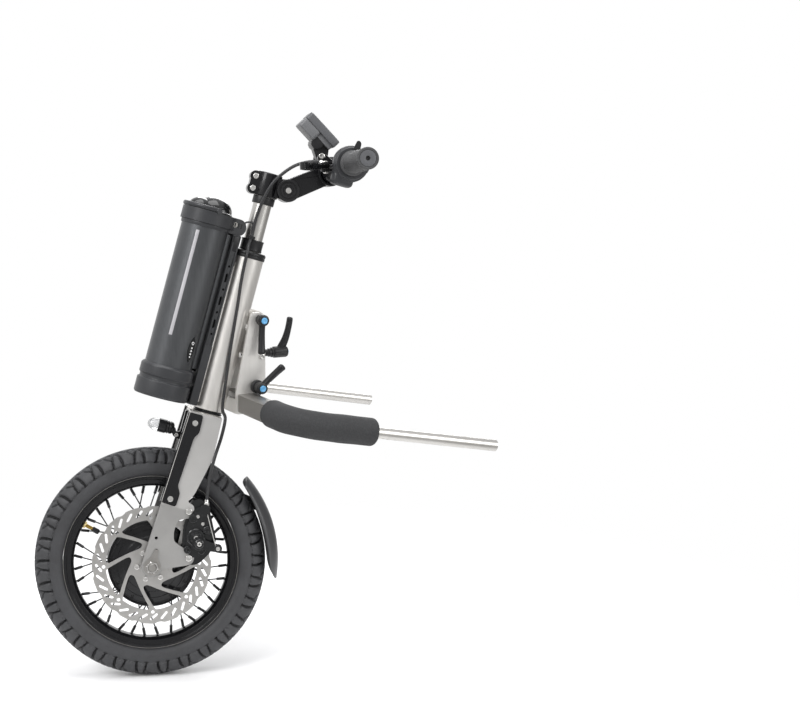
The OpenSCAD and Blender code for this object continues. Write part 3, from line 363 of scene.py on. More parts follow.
def prism(frm, outline, z0, z1, holes=()):
    """Flat shape with holes, from z0 to z1 up the frame's Z."""
    rings = [np.asarray(r, float) for r in (outline, *holes)]
    flat = np.concatenate(rings)
    n, starts = len(flat), np.cumsum([0] + [len(r) for r in rings])
    edges = np.concatenate([np.stack([s + np.arange(len(r)), s + (np.arange(len(r)) + 1) % len(r)], 1)
                            for s, r in zip(starts, rings)])
    out = delaunay_2d_cdt([Vector(p) for p in flat], edges.tolist(), [], 0, 1e-7)
    tris = np.array([o[0] for o in out[3]])[np.array(out[2])]
    middle = flat[tris].mean(1)
    tris = tris[sum(inside(middle, r) for r in rings) % 2 == 1]
    points = np.concatenate([np.c_[flat, np.full(n, z0)], np.c_[flat, np.full(n, z1)]])
    walls = np.stack([edges[:, 0], edges[:, 1], edges[:, 1] + n, edges[:, 0] + n], 1)
    return frm(points), [tris[:, ::-1], tris + n, walls]


def beside(frm, outline, y0, y1, holes=()):
    """Flat shape drawn forward and up, standing from y0 to y1 on the left."""
    return prism(frm.upright(), outline, -y1, -y0, holes)


def pair(frm, outline, y0, y1, holes=()):
    """The same flat shape standing from y0 to y1 on the left and again on the right."""
    return [beside(frm, outline, *sorted((s * y0, s * y1)), holes) for s in SIDES]


def cross_spot(frm, p, s, y):
    """Frame at a place beside the column, with Z outward to that side."""
    spot = frm.at(p, y, s).sideways()
    return spot if y > 0 else spot.turned(0, 180)


def join(*lists):
    """Lists of points, one after another."""
    return np.concatenate(lists)


def rect(x0, x1, y0, y1):
    return [[x0, y0], [x1, y0], [x1, y1], [x0, y1]]


def both_sides(half):
    """A profile followed by its mirror image in the line of height 0, back to the start."""
    half = np.asarray(half, float)
    return np.concatenate([half, (half * (1, -1))[::-1]])


def rounded_ring(lx, ly, r, n=6):
    """Corner-rounded rectangle about the origin, anticlockwise."""
    r = min(r, lx / 2 - 0.01, ly / 2 - 0.01)
    corners = ((1, 1, 0), (-1, 1, 90), (-1, -1, 180), (1, -1, 270))
    return np.concatenate([arc((sx * (lx / 2 - r), sy * (ly / 2 - r)), r, a, a + 90, n) for sx, sy, a in corners])


def cushion_box(frm, lx, ly, z0, z1, corner, edge):
    """Box with round corners seen from above and round edges at both ends."""
    t = np.linspace(0, np.pi / 2, 4)
    inset, lift = edge * (1 - np.sin(t)), edge * (1 - np.cos(t))
    levels = zip(np.r_[inset, inset[::-1]], np.r_[z0 + lift, (z1 - lift)[::-1]])
    rings = [np.c_[rounded_ring(lx - 2 * i, ly - 2 * i, max(corner - i, 0.2)), np.full(24, h)] for i, h in levels]
    return loft(frm(np.array(rings)))


def round_ring(r, z):
    t = np.linspace(0, TAU, 48, endpoint=False)
    return np.stack([r * np.cos(t), r * np.sin(t), np.full(48, z)], 1)


def hex_ring(flats, z):
    """Hexagon of that width across its flats, as equally many points."""
    t = np.linspace(0, TAU, 48, endpoint=False)
    return round_ring(flats / 2 / np.cos(t % (np.pi / 3) - np.pi / 6), z)


def socket_screw(frm, r, h, key=None):
    """Cap screw head standing on the frame's Z = 0, with a rounded rim and a hexagon socket."""
    key = key or 0.95 * r
    rings = [round_ring(r * a, h * b) for a, b in ((0.97, 0), (1, 0.06), (1, 0.72), (0.94, 0.92), (0.82, 1))]
    rings += [round_ring(key * 0.62, h), hex_ring(key, 0.97 * h), hex_ring(key, 0.35 * h), round_ring(0.1, 0.3 * h)]
    return loft(frm(np.array(rings)))


def nut(frm, flats, h, bore):
    """Hexagon nut with chamfered faces and a hole."""
    rings = [round_ring(bore, 0), round_ring(flats * 0.48, 0), hex_ring(flats, 0.1 * h), hex_ring(flats, 0.86 * h),
             round_ring(flats * 0.485, h), round_ring(bore + 0.6, h), round_ring(bore, 0.92 * h)]
    return loft(frm(np.array(rings)), loop=True)


def placed(name, data):
    """New object in the scene."""
    obj = bpy.data.objects.new(name, data)
    bpy.context.scene.collection.objects.link(obj)
    return obj


def piece(name, parts, body, slot, replaces=(), paint=None, bevel=0.0, sharp=38, segments=2):
    """One object from several shapes, riding on a body if it has one; bevel is a width in mm for its sharp edges.

    Its paint is the one named like its slot, or another one by name.
    """
    points, loops, sizes, at = [], [], [], 0
    for verts, faces in parts:
        for f in faces:
            loops.append((f + at).ravel())
            sizes.append(np.full(len(f), f.shape[1]))
        points.append(verts)
        at += len(verts)
    points, loops, sizes = np.concatenate(points), np.concatenate(loops), np.concatenate(sizes)
    mesh = bpy.data.meshes.new(name)
    mesh.vertices.add(len(points))
    mesh.vertices.foreach_set("co", points.ravel())
    mesh.loops.add(len(loops))
    mesh.loops.foreach_set("vertex_index", loops)
    mesh.polygons.add(len(sizes))
    mesh.polygons.foreach_set("loop_start", np.concatenate([[0], np.cumsum(sizes)[:-1]]))
    mesh.update(calc_edges=True)
    mesh.validate()
    bm = bmesh.new()
    bm.from_mesh(mesh)
    bmesh.ops.recalc_face_normals(bm, faces=bm.faces)
    bm.to_mesh(mesh)
    bm.free()
    mesh.shade_smooth()
    obj = placed(name, mesh)
    mesh.materials.append(PAINT[paint or slot])
    if bevel:
        mod = obj.modifiers.new("edges", "BEVEL")
        mod.width, mod.segments, mod.limit_method = bevel / 1000, segments, "ANGLE"
        mod.angle_limit, mod.harden_normals = np.radians(sharp), True
    else:
        mesh.set_sharp_from_angle(angle=np.radians(sharp))
    if body:
        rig.ride(obj, body)
    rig.slot(obj, slot)
    if replaces:
        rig.replaces(obj, *replaces)
    return obj


def bolts(name, parts, body, replaces=()):
    return piece(name, parts, body, "satin_steel", replaces, "bright_screw")


# Materials. A Sock is a socket in a node tree, and arithmetic on it adds Math nodes.

class Sock:
    def __init__(self, tree, socket):
        self.tree, self.socket = tree, socket

    def node(self, kind, values=None, out=0, **settings):
        """Adds a shader node of that kind, links or sets its inputs, and gives one of its outputs."""
        node = self.tree.nodes.new("ShaderNode" + kind)
        for key, value in settings.items():
            setattr(node, key, value)
        for key, value in (values or {}).items():
            if isinstance(value, Sock):
                self.tree.links.new(value.socket, node.inputs[key])
            else:
                node.inputs[key].default_value = value
        return Sock(self.tree, node.outputs[out])

    def math(self, operation, other=0.0, swap=False):
        a, b = (other, self) if swap else (self, other)
        return self.node("Math", {0: a, 1: b}, operation=operation)

    def __add__(self, other):
        return self.math("ADD", other)

    def __mul__(self, other):
        return self.math("MULTIPLY", other)

    def __sub__(self, other):
        return self.math("SUBTRACT", other)

    def __rsub__(self, other):
        return self.math("SUBTRACT", other, True)

    def above(self, edge, soft):
        """0 below the edge, 1 above it, smooth over a width of soft."""
        return self.node("MapRange", {"Value": self, "From Min": edge - soft / 2, "From Max": edge + soft / 2},
                         interpolation_type="SMOOTHSTEP")

    def ramp(self, *stops):
        """Colour from (position, (r, g, b)) stops."""
        made = self.node("ValToRGB", {"Fac": self})
        elements = made.socket.node.color_ramp.elements
        for i, (place, colour) in enumerate(stops):
            element = elements[i] if i < 2 else elements.new(place)
            element.position, element.color = place, (*colour, 1)
        return made

    def noise(self, scale, detail=3.0, rough=0.55):
        return self.node("TexNoise", {"Vector": self, "Scale": scale, "Detail": detail, "Roughness": rough})

    def cells(self, scale, feature="F1"):
        return self.node("TexVoronoi", {"Vector": self, "Scale": scale}, feature=feature)

    def stretched(self, *scale):
        return self.node("Mapping", {"Vector": self, "Scale": scale})

    def along(self, origin, direction):
        """Distance in metres from a point along a direction."""
        moved = self.node("VectorMath", {0: self, 1: tuple(origin)}, operation="SUBTRACT")
        return moved.node("VectorMath", {0: moved, 1: tuple(direction)}, out=1, operation="DOT_PRODUCT")

    def mix(self, a, b):
        """a where this is 0 and b where it is 1."""
        made = self.node("Mix", {0: self}, out=2, data_type="RGBA")
        for i, value in ((6, a), (7, b)):
            if isinstance(value, Sock):
                self.tree.links.new(value.socket, made.socket.node.inputs[i])
            else:
                made.socket.node.inputs[i].default_value = (*value, 1)
        return made

    def bump(self, strength, distance):
        return self.node("Bump", {"Height": self, "Strength": strength, "Distance": distance})


PAINT = {}


def material(name, recipe, **constants):
    """Principled material whose colour, roughness and normal come from recipe(object coordinates), kept in PAINT."""
    made = bpy.data.materials.new(name)
    made.use_nodes = True
    tree = made.node_tree
    shader = tree.nodes["Principled BSDF"]
    for key, value in constants.items():
        shader.inputs[key.replace("_", " ")].default_value = value
    place = Sock(tree, tree.nodes.new("ShaderNodeTexCoord").outputs["Object"])
    for key, value in zip(("Base Color", "Roughness", "Normal"), recipe(place)):
        tree.links.new(value.socket, shader.inputs[key])
    made.diffuse_color = (0.5, 0.5, 0.5, 1)
    PAINT[name] = made


def shades(colour, spread):
    return tuple(c * (1 - spread) for c in colour), tuple(min(c * (1 + spread), 1) for c in colour)


def moulded(colour, rough, grain=900, depth=0.00006):
    """Moulded plastic: fine pebbled grain, faint mottling, and gloss that varies with handling."""
    low, high = shades(colour, 0.14)

    def recipe(p):
        cloud, pebble = p.noise(14, 4), p.cells(grain, "SMOOTH_F1")
        return ((cloud * 0.75 + pebble * 0.3).ramp((0.25, low), (0.75, high)),
                p.noise(22, 3) * 0.16 + (rough - 0.08),
                (pebble + p.noise(grain * 2, 2) * 0.4).bump(0.35, depth))
    return recipe


def brushed(colour, rough, stretch, scale=60, depth=0.00003):
    """Worked metal: long fine scratches across the stretch direction, cloudy gloss, faint stains."""
    low, high = shades(colour, 0.1)

    def recipe(p):
        lines = p.stretched(*stretch).noise(scale, 5, 0.65)
        cloud = p.noise(9, 3)
        return ((lines * 0.6 + cloud * 0.4).ramp((0.3, low), (0.7, high)),
                lines * 0.14 + cloud * 0.1 + (rough - 0.12),
                lines.bump(0.3, depth))
    return recipe


def painted(colour, rough):
    """Paint or anodising: a faint orange peel over a fine sparkle."""
    low, high = shades(colour, 0.09)

    def recipe(p):
        peel, cloud = p.noise(1500, 2), p.noise(17, 4)
        return ((cloud * 0.8 + peel * 0.2).ramp((0.3, low), (0.7, high)),
                cloud * 0.12 + p.noise(240, 2) * 0.06 + (rough - 0.09),
                peel.bump(0.25, 0.00004))
    return recipe


def lining_recipe(p):
    """Brake lining: dusty mottling and a soft tooth."""
    low, high = shades((0.16, 0.13, 0.1), 0.16)
    dust, tooth = p.noise(26, 5, 0.65), p.noise(420, 3)
    return ((dust * 0.8 + tooth * 0.2).ramp((0.3, low), (0.72, high)),
            dust * 0.2 + 0.7, tooth.bump(0.35, 0.00012))


def foam_recipe(p):
    """Open-skinned foam: small pores, soft dents and paler rubbed patches."""
    pores, dents, rub = p.cells(520, "SMOOTH_F1"), p.noise(90, 3), p.noise(7, 3)
    return ((pores * 0.4 + rub * 0.6).ramp((0.2, (0.02, 0.02, 0.021)), (0.8, (0.05, 0.051, 0.053))),
            rub * 0.12 + 0.78,
            (pores * 0.7 + dents * 0.6).bump(0.6, 0.0005))


def cable_recipe(p):
    """Braided cable sleeve: a fine woven relief with a slight sheen."""
    weave = p.cells(1100) * 0.7 + p.noise(60, 2) * 0.3
    return (weave.ramp((0.2, (0.012, 0.012, 0.013)), (0.8, (0.035, 0.035, 0.037))),
            p.noise(40, 2) * 0.15 + 0.36, weave.bump(0.4, 0.0002))


def knurl_recipe(p):
    """Grip rubber: a crossed fine relief, polished a little where hands rub."""
    u, v, w = (p.along(bar.origin, way) for way in bar.axes.T)
    spin = u.node("Math", {0: u, 1: v}, operation="ARCTAN2") * 40
    lines = (spin + w * 3200).math("SINE").math("MULTIPLY", (spin - w * 3200).math("SINE"))
    rub = p.noise(24, 3)
    return ((lines * 0.2 + rub).ramp((0.2, (0.03, 0.03, 0.031)), (0.8, (0.075, 0.076, 0.078))),
            rub * 0.2 + 0.42, lines.bump(0.4, 0.0003))


def screen_recipe(p):
    """Dark display glass with a fine pixel grid and a faint wipe mark."""
    grid, wipe = p.cells(2600), p.noise(30, 3)
    return ((grid * 0.3 + wipe * 0.7).ramp((0.3, (0.012, 0.016, 0.017)), (0.8, (0.03, 0.036, 0.036))),
            wipe * 0.12 + 0.05, wipe.bump(0.02, 0.0002))


def lens_recipe(p):
    """Moulded clear lens with fine rings."""
    rings, haze = p.noise(700, 1), p.noise(40, 2)
    return (haze.ramp((0.2, (0.82, 0.83, 0.84)), (0.8, (0.95, 0.95, 0.95))),
            haze * 0.08 + 0.04, rings.bump(0.1, 0.0002))


def tyre_recipe(p):
    """Tyre rubber: paler dusty blocks, painted shade that darkens the deep grooves, and fine moulding lines round the
    sidewall.
    """
    off = p.node("VectorMath", {0: p, 1: tuple(wheel.origin)}, operation="SUBTRACT")
    across = p.along(wheel.origin, LEFT)
    reach = off.node("VectorMath", {0: off}, out=1, operation="LENGTH")
    radius = (reach * reach - across * across).math("SQRT")
    crown = radius.above(0.1725, 0.003)
    dust, tooth = p.noise(34, 5, 0.7), p.noise(700, 3)
    lines = (radius * 5200).math("SINE") * (1 - crown)
    tone = dust * 0.6 + tooth * 0.2 + crown * 0.2
    ring = radius - TYRE_RING / 1000
    # Painted shade: rubber lying more than about 3 mm below the tyre's round is coloured near black, as shade in the
    # grooves.
    painted_groove_shade = (TYRE_TUBE / 1000 - (ring * ring + across * across).math("SQRT")).above(0.0029, 0.0006)
    block = tone.ramp((0.25, (0.028, 0.028, 0.03)), (0.6, (0.051, 0.052, 0.056)), (0.9, (0.086, 0.087, 0.092)))
    return (painted_groove_shade.mix(block, (0.011, 0.011, 0.012)), dust * 0.2 + 0.5,
            (tooth * 0.5 + lines * 0.12).bump(0.4, 0.0002))


def blade_recipe(p):
    """Fork blade paint: a satin grey, painted lighter above the crease over the axle and darker below it, as light and
    shade on the two faces.
    """
    peel, cloud = p.noise(1500, 2), p.noise(17, 4)
    tone = cloud * 0.8 + peel * 0.2
    upper = tone.ramp((0.3, (0.44, 0.432, 0.42)), (0.7, (0.5, 0.492, 0.48)))
    lower = tone.ramp((0.3, (0.3, 0.295, 0.287)), (0.7, (0.36, 0.354, 0.345)))
    # Painted light and shade: above the crease the blade takes a lighter copy of its grey, below it a darker copy.
    raised = p.along(hub.origin, UP).above(0.096, 0.003)
    return (raised.mix(lower, upper), cloud * 0.12 + p.noise(240, 2) * 0.06 + 0.31,
            peel.bump(0.25, 0.00004))


def battery_recipe(p):
    """Battery shell: satin drawn metal in dark grey, with one pale printed stripe down its left front."""
    a, b, h = (p.along(column((PACK_X, 0, 0)), way) for way in column.axes.T)
    angle = a.node("Math", {0: b, 1: a}, operation="ARCTAN2")
    turned = angle.above(0.86, 0.012) * (1 - angle.above(1.005, 0.012))
    stripe = turned * h.above(0.347, 0.002) * (1 - h.above(0.509, 0.002))
    cloud = p.noise(16, 4)
    drawn = p.stretched(1, 1, 0.05).noise(420, 4)
    base = (cloud * 0.5 + drawn * 0.5).ramp((0.25, (0.072, 0.075, 0.079)), (0.75, (0.102, 0.105, 0.11)))
    print_tone = cloud.ramp((0.2, (0.42, 0.41, 0.43)), (0.8, (0.55, 0.54, 0.56)))
    return (stripe.mix(base, print_tone), drawn * 0.12 + cloud * 0.08 + 0.24,
            drawn.bump(0.15, 0.00003))


def blue_cap_recipe(p):
    """Blue moulded cap with a slightly paler cloud."""
    cloud = p.noise(180, 3)
    return (cloud.ramp((0.2, (0.07, 0.3, 0.58)), (0.8, (0.16, 0.45, 0.75))),
            cloud * 0.15 + 0.25, p.noise(900, 2).bump(0.1, 0.0001))


material("satin_steel", brushed((0.3, 0.29, 0.275), 0.42, (1, 0.06, 1)), Metallic=0.85)
material("satin_silver", brushed((0.74, 0.72, 0.69), 0.32, (1, 1, 0.06), 90), Metallic=0.85)
material("bright_tube", brushed((0.55, 0.537, 0.515), 0.32, (0.5, 0.5, 0.5), 40, 0.000008), Metallic=1.0)
material("foam", foam_recipe)
material("black_plastic", moulded((0.017, 0.017, 0.018), 0.33), Specular_IOR_Level=0.3)
material("dark_plastic", moulded((0.034, 0.035, 0.038), 0.36), Specular_IOR_Level=0.38)
material("battery_grey", battery_recipe, Metallic=0.7)
material("gloss_black", moulded((0.006, 0.0065, 0.007), 0.2, 300, 0.00001), Specular_IOR_Level=0.4, Coat_Weight=0.3)
material("white_print", painted((0.72, 0.72, 0.72), 0.4))
material("black_metal", painted((0.007, 0.007, 0.008), 0.22), Specular_IOR_Level=0.26, Coat_Weight=0.2)
material("blade_grey", blade_recipe, Metallic=0.45)
material("cell_steel", brushed((0.5, 0.5, 0.5), 0.3, (1, 1, 0.1)), Metallic=1.0)
material("copper", brushed((0.6, 0.3, 0.14), 0.35, (1, 1, 0.2)), Metallic=1.0)
material("mudguard_grey", moulded((0.052, 0.052, 0.054), 0.36, 1300, 0.00003))
material("cable_black", cable_recipe)
material("clear_lens", lens_recipe, Transmission_Weight=0.6, IOR=1.49)
material("tyre", tyre_recipe)
material("spoke_black", painted((0.018, 0.018, 0.019), 0.3), Metallic=0.3)
material("rotor_steel", brushed((0.46, 0.45, 0.435), 0.34, (0.4, 0.4, 0.4), 130), Metallic=0.9)
material("brass", brushed((0.62, 0.5, 0.24), 0.28, (1, 1, 1), 120), Metallic=1.0)
material("pad_lining", lining_recipe)
material("grip_rubber", knurl_recipe)
material("button_grey", moulded((0.3, 0.3, 0.31), 0.4))
material("screen", screen_recipe, Coat_Weight=0.5)
material("blue_cap", blue_cap_recipe, Coat_Weight=0.3)
material("plate_silver", brushed((0.66, 0.645, 0.62), 0.42, (1, 1, 0.06), 90), Metallic=0.5)
material("graphite", moulded((0.095, 0.097, 0.103), 0.4))
material("slate", moulded((0.14, 0.142, 0.148), 0.42))
material("bright_screw", brushed((0.7, 0.69, 0.67), 0.2, (1, 1, 1), 200), Metallic=1.0)
SLOT_OF = {s["node"]: s["material_slot"] for s in frame["record"]["subparts"]}
for name, node in frame["nodes"].items():
    node.data.materials.clear()
    node.data.materials.append(PAINT[SLOT_OF[name]])


# Wheel.

def tri(u):
    """Triangle wave from -1 to 1 with period 1."""
    return 4 * np.abs((u + 0.25) % 1 - 0.5) - 1


def step(edge, soft, x):
    t = np.clip((x - edge) / soft + 0.5, 0, 1)
    return t * t * (3 - 2 * t)


def near(u, target):
    """Distance between two places on a loop of length 1."""
    return np.abs((u - target + 0.5) % 1 - 0.5)


rise = np.linspace(0, 1, 7)
ARC = np.c_[0.25 - 0.22 * np.sqrt(1 - (1 - rise) ** 2), 9 + 27 * rise]
NOTCH, FOLD, TAIL = ((0.365, 9), (0.443, 21)), ((0.443, 21), (0.62, 16.6), (0.79, 9)), ((0.443, 21), (0.5, 36))


def tread_depth(u, v):
    """How far the rubber lies below its outer face, in mm, at u of a tread period and v mm from the crown.

    Grooves are bands round lines: a zigzag 9 mm from the crown with slanted cuts inside it; outside it, once a period,
    a quarter ellipse to the sidewall, a two-sided notch, and a line from the notch's point to the sidewall. Shoulder
    blocks fall off towards those lines; past their ragged edge the sidewall lies lower and rises again.
    """
    w = np.abs(v)
    u = (u + 0.5 * (v < 0)) % 1

    def groove(distance, width):
        return 1 - step(width / 2 + 0.35, 0.9, distance)


    def apart(points):
        """Distance in mm from a chain of (u, w) points."""
        best = np.inf
        for (u0, w0), (u1, w1) in zip(points[:-1], points[1:]):
            a, b = PITCH * ((u - u0 + 0.5) % 1 - 0.5), w - w0
            run, climb = PITCH * (u1 - u0), w1 - w0
            along = np.clip((a * run + b * climb) / (run ** 2 + climb ** 2), 0, 1)
            best = np.minimum(best, np.hypot(a - along * run, b - along * climb))
        return best

    crown_edge, shoulder_edge, lug_end = 8.8, 34.4, 36.6
    sweep, tail = apart(ARC), apart(TAIL)
    lugs = 1 - step(lug_end, 2, w)
    zigzag = groove(np.abs(w - crown_edge - 1.8 * tri(2 * u)), 2.0)
    chevron = groove(PITCH * 0.5 * near(2 * u + w / 22, 0.25), 2.2) * (1 - step(crown_edge, 1.0, w))
    shoulder = step(shoulder_edge + 0.8 * tri(6 * u), 0.9, w) * (1 - step(43, 14, w))
    cuts = np.maximum.reduce([3.4 * zigzag, 3.2 * chevron, 3.8 * groove(sweep, 3.0) * lugs, 3.8 * groove(apart(NOTCH),
        2.6), 3.2 * groove(apart(FOLD), 1.5), 3.2 * groove(tail, 2.2) * lugs, 2.6 * shoulder])
    return cuts + 2.0 * np.clip(1 - np.minimum(sweep, tail) / 7, 0, 1) ** 2 * step(13, 6, w) * lugs


def tyre_shape():
    """Grid of places across the section by places round the wheel, closed inside above the rim."""
    v = join(np.linspace(-58.4, -39, 6), np.linspace(-38, 38, 84), np.linspace(39, 58.4, 6))[:, None]
    turn = np.linspace(0, TAU, PERIODS * 32, endpoint=False)[None, :]
    reach = TYRE_TUBE - tread_depth(turn * PERIODS / TAU, v)
    r, z = TYRE_RING + reach * np.cos(v / TYRE_TUBE), reach * np.sin(v / TYRE_TUBE)
    lip = np.array([[134.2, 12.0], [137, 0.0], [134.2, -12.0]])
    r = join(r, np.broadcast_to(lip[:, :1], (3, turn.size)))
    z = join(z, np.broadcast_to(lip[:, 1:], (3, turn.size)))
    return loft(wheel(np.stack([r * np.cos(turn), r * np.sin(turn), z], -1)), loop=True)


piece("tyre_casing", [tyre_shape()], "wheel", "tyre", ["tyre"], sharp=180)

rim_half = [[117, 8], [121, 14.4], [127.5, 15], [128.4, 16.1], [132.2, 16.3], [133.2, 15.4],
    [132, 13.6], [126, 12.5], [123, 7]]
piece("wheel_rim", [hoop(wheel, [[116.6, 0], *both_sides(rim_half)], 0.9, 3, 144)], "wheel", "black_metal", ["rim"])
# Painted highlight: a thin bright steel ring on each rim flange's edge stands for the light caught there.
piece("rim_edge_line", [hoop(wheel, rect(132.5, 133.3, s * 16, s * 16.5), 0.2, 2, 144) for s in SIDES], "wheel",
    "rotor_steel", paint="satin_steel")

hub_half = [[33, -33.5], [42, -31.6], [42.6, -30.6], [52, -28.4], [52.6, -29], [60, -27.2], [61, -27.8],
    [65.5, -26.6], [66.5, -25], [66.5, -20], [65.3, -18]]
hub_parts = [hoop(wheel, [[9, -37.5], [29, -37.5], [31, -36.5], *both_sides(hub_half), [31, 37.4], [29, 38.4],
    [9, 38.4]], 0.7, 3, 120)]
for k in range(12):
    for side in SIDES:
        spot = wheel.turned(2, k * 30 + 15).at(57.2, 0, side * 26.6)
        hub_parts.append(socket_screw(spot if side > 0 else spot.turned(0, 180), 2.6, 2.4))
piece("hub_casing", hub_parts, "wheel", "black_metal", ["hub_shell"])


def polar(r, degrees):
    return np.asarray(r)[..., None] * np.stack([np.cos(np.radians(degrees)), np.sin(np.radians(degrees))], -1)


def rotor_shape():
    """Waved outline; eight sickle arms left by eight windows, each with a round hole outside; 32 slanted slots."""
    rim, wave_at, wave_r, wave_deg = 90, 103, 15, 22.5
    t = np.linspace(0, 360, 720, endpoint=False)
    across = (t + wave_deg / 2) % wave_deg - wave_deg / 2
    half = np.radians(np.clip(np.abs(across), 0, 8.3))
    dip = wave_at * np.cos(half) - np.sqrt(np.maximum(wave_r ** 2 - (wave_at * np.sin(half)) ** 2, 0))
    outline = polar(np.minimum(rim, dip), t)
    lead = polar([35.2, 40.5, 50.5, 58.8, 63, 67], [-23, -17.6, -7.3, -1.5, 0.6, 3])
    trail = polar([63.6, 53.7, 41.7, 36, 32.8, 31.1], [39.9, 32.9, 19.3, 8, -1.3, -15.8])
    window = soften(join(lead, polar(np.full(9, 69), np.linspace(4.6, 40, 9)), trail), 3, 3)
    slot_line = slot_hole((79.8, 0), 15, 3.8, 128, 5)

    def spread(shape, start, count):
        """The flat shape turned to the start angle, and on round the rotor."""
        return [shape @ np.array([polar(1, a), polar(1, a + 90)]) for a in start + np.arange(count) * 360 / count]

    holes = spread(slot_line, 17, 32) + spread(window, 16, 8) + [circle(polar(72.3, 16 + 45 * k),
        2.7, 18) for k in range(8)]
    return prism(wheel, outline, 38.5, ROTOR_OUT, holes + [circle((0, 0), 14, 40)])


piece("brake_rotor", [rotor_shape()], "wheel", "rotor_steel", ["rotor"], sharp=30)
bolts("rotor_bolts", [socket_screw(wheel.turned(2, 60 * k + 20).at(22.5, 0, ROTOR_OUT), 4.3, 2.4)
    for k in range(6)], "wheel")

valve_at = wheel.turned(2, -15).at(116.7, 0, 0).turned(1, -90)
piece("valve_stem", [nut(valve_at, 10, 3, 2.8), lathe(valve_at, threaded(3, 0.35, 3.2, 14.5, 36), 32)],
    "wheel", "brass", ["valve"])
piece("valve_cap", [spun(valve_at, [[0.4, 14.4], [4, 14.4], [4, 24], [3.2, 26], [0.4, 26]], 0.8, 3, 40,
    ripple=lambda t, z: 0.18 * np.cos(16 * t) * (z > 15) * (z < 24))], "wheel", "black_metal", paint="black_plastic")

# Fork.

round_end = arc((0, 0), 16, 0, -180, 22)
blade_front, blade_back = [[4, 243], [11, 102], [14.6, 40]], [[-34, 122], [-47, 181]]
lug_edge = [[-52, 15], [-58, 20], [-58, 33], [-40, 38], [-22, 45], [-18, 60], [-20, 78], [-38, 86],
    [-41, 92], [-38, 105], [-26, 108]]
plain_edge = [[-20, 40], [-19, 68], [-24, 103]]


def blade_line(edge):
    """Outline of a fork blade: front edge, round axle end, and one of the two rear edges."""
    return join(soften([[-45, 243]] + blade_front + [[16, 0]], 4, 3, False)[1:-1], round_end,
        soften([[-16, 0]] + edge + blade_back + [[-45, 243]], 5, 4, False)[1:])


drop_slot, caliper_bolts = slot_hole((0, 24), 9, 4.4, 90), ((-32, 95), (-50, 26))
for side, edge, name in ((1, lug_edge, "left_fork_blade"), (-1, plain_edge, "right_fork_blade")):
    holes = [circle((0, 0), 6), circle((5, 44), 2.4), drop_slot]
    holes += [circle(at, 3) for at in caliper_bolts] if side > 0 else []
    piece(name + "_plate", [beside(hub, blade_line(edge), *sorted((side * BLADE_IN, side * BLADE_OUT)), holes)],
        "steering", "blade_grey", [name], bevel=0.9, sharp=50)

guard_line = soften([[5.5, 241], [12.5, 99], [-11, 97], [-12, 119], [-6, 128], [-11, 205],
    [-17, 214], [-16, 241]], 4, 4)
guard_fold = [[5.2, 241], [12.2, 99], [13.8, 99.2], [6.8, 241.2]]
piece("fork_edge_guards", pair(hub, guard_line, BLADE_OUT, GUARD_OUT) + pair(hub, guard_fold, 47, 58.3), "steering",
    "black_metal", ["fork_guards"], bevel=0.5, sharp=50)
# Painted highlight: a thin bright strip along each guard's front edge stands for the glint of light on that edge.
guard_edge_glint = [[4.3, 240], [11.2, 100.4], [12.1, 100.4], [5.2, 240]]
piece("guard_bare_edges", pair(hub, guard_edge_glint, 58.2, 58.9), "steering", "satin_steel",
    paint="satin_silver", bevel=0.2, sharp=50)

tab_washer = join(arc((0, 0), 10.5, 150, 390, 20), [[4.5, 17], [3, 27], [-3, 27], [-4.5, 17]])
fasteners, washers = [], pair(hub, tab_washer, BLADE_OUT, 57.4)
for s in SIDES:
    fasteners += [socket_screw(cross_spot(hub, *at, s * GUARD_OUT), 4.5, 2.5) for at in ((-7, 227), (0, 107))]
    end = cross_spot(hub, 0, 0, s * BLADE_OUT)
    fasteners.append(nut(end.at(0, 0, 1.8), 17, 8, 6.1))
    # The round washer under each axle nut is real; it is made in the darker steel as a painted shade ring round the
    # nut.
    washers.append(hoop(end, rect(6, 13, 0, 1.7), 0.4, 2, 48))
fasteners += [socket_screw(cross_spot(hub, *at, BLADE_OUT), 5, 4) for at in caliper_bolts]
fasteners += [socket_screw(cross_spot(steer, 22, s, 14.2), 4.5, 4) for s in (593, 612)]
bolts("fork_screws", fasteners, "steering", ["fork_fasteners"])
piece("axle_washers", washers, "steering", "satin_steel")
axle_end = np.r_[threaded(5.95, 0.4, BLADE_OUT, 69.4, 30), [[5.2, 70]]]
piece("axle_ends", [lathe(frm, axle_end, 40) for frm in (wheel, wheel.turned(0, 180))]
    + [spun(wheel, both_sides([[5.9, -56], [6, -50.2], [8, -50]]), 0.5, 2, 40)], "steering", "satin_steel", ["axle"])

crown_line = soften(rect(-20, 29, -50, 50), 5, 4)
strap = soften([[27, 240], [33, 238], [33, 204], [38.5, 203], [41, 198], [38.5, 193.5], [31, 192],
    [28, 196], [28, 222]], 2, 3)
piece("fork_crown_block", [prism(steer, crown_line, 222, 243, [circle((0, 0), 14.3, 48)])], "steering",
    "satin_silver", ["fork_crown"], bevel=2.2, sharp=50, segments=3)
piece("lamp_strap", [beside(steer, strap, -3, 3), beside(steer, soften([[27, 240], [33, 238], [33, 207], [28, 207]],
    1.5, 3), -7, 7)], "steering", "black_metal", bevel=0.6)
piece("fork_seal", [hoop(steer, [[14.6, 242.6], [22.4, 242.6], [22.4, 244.2], [21, 244.8], [21, 246], [22, 246.4],
    [22, 247.6], [14.6, 247.6]], 0.3, 2, 72)], "steering", "black_metal", paint="black_plastic")

# Lamp.

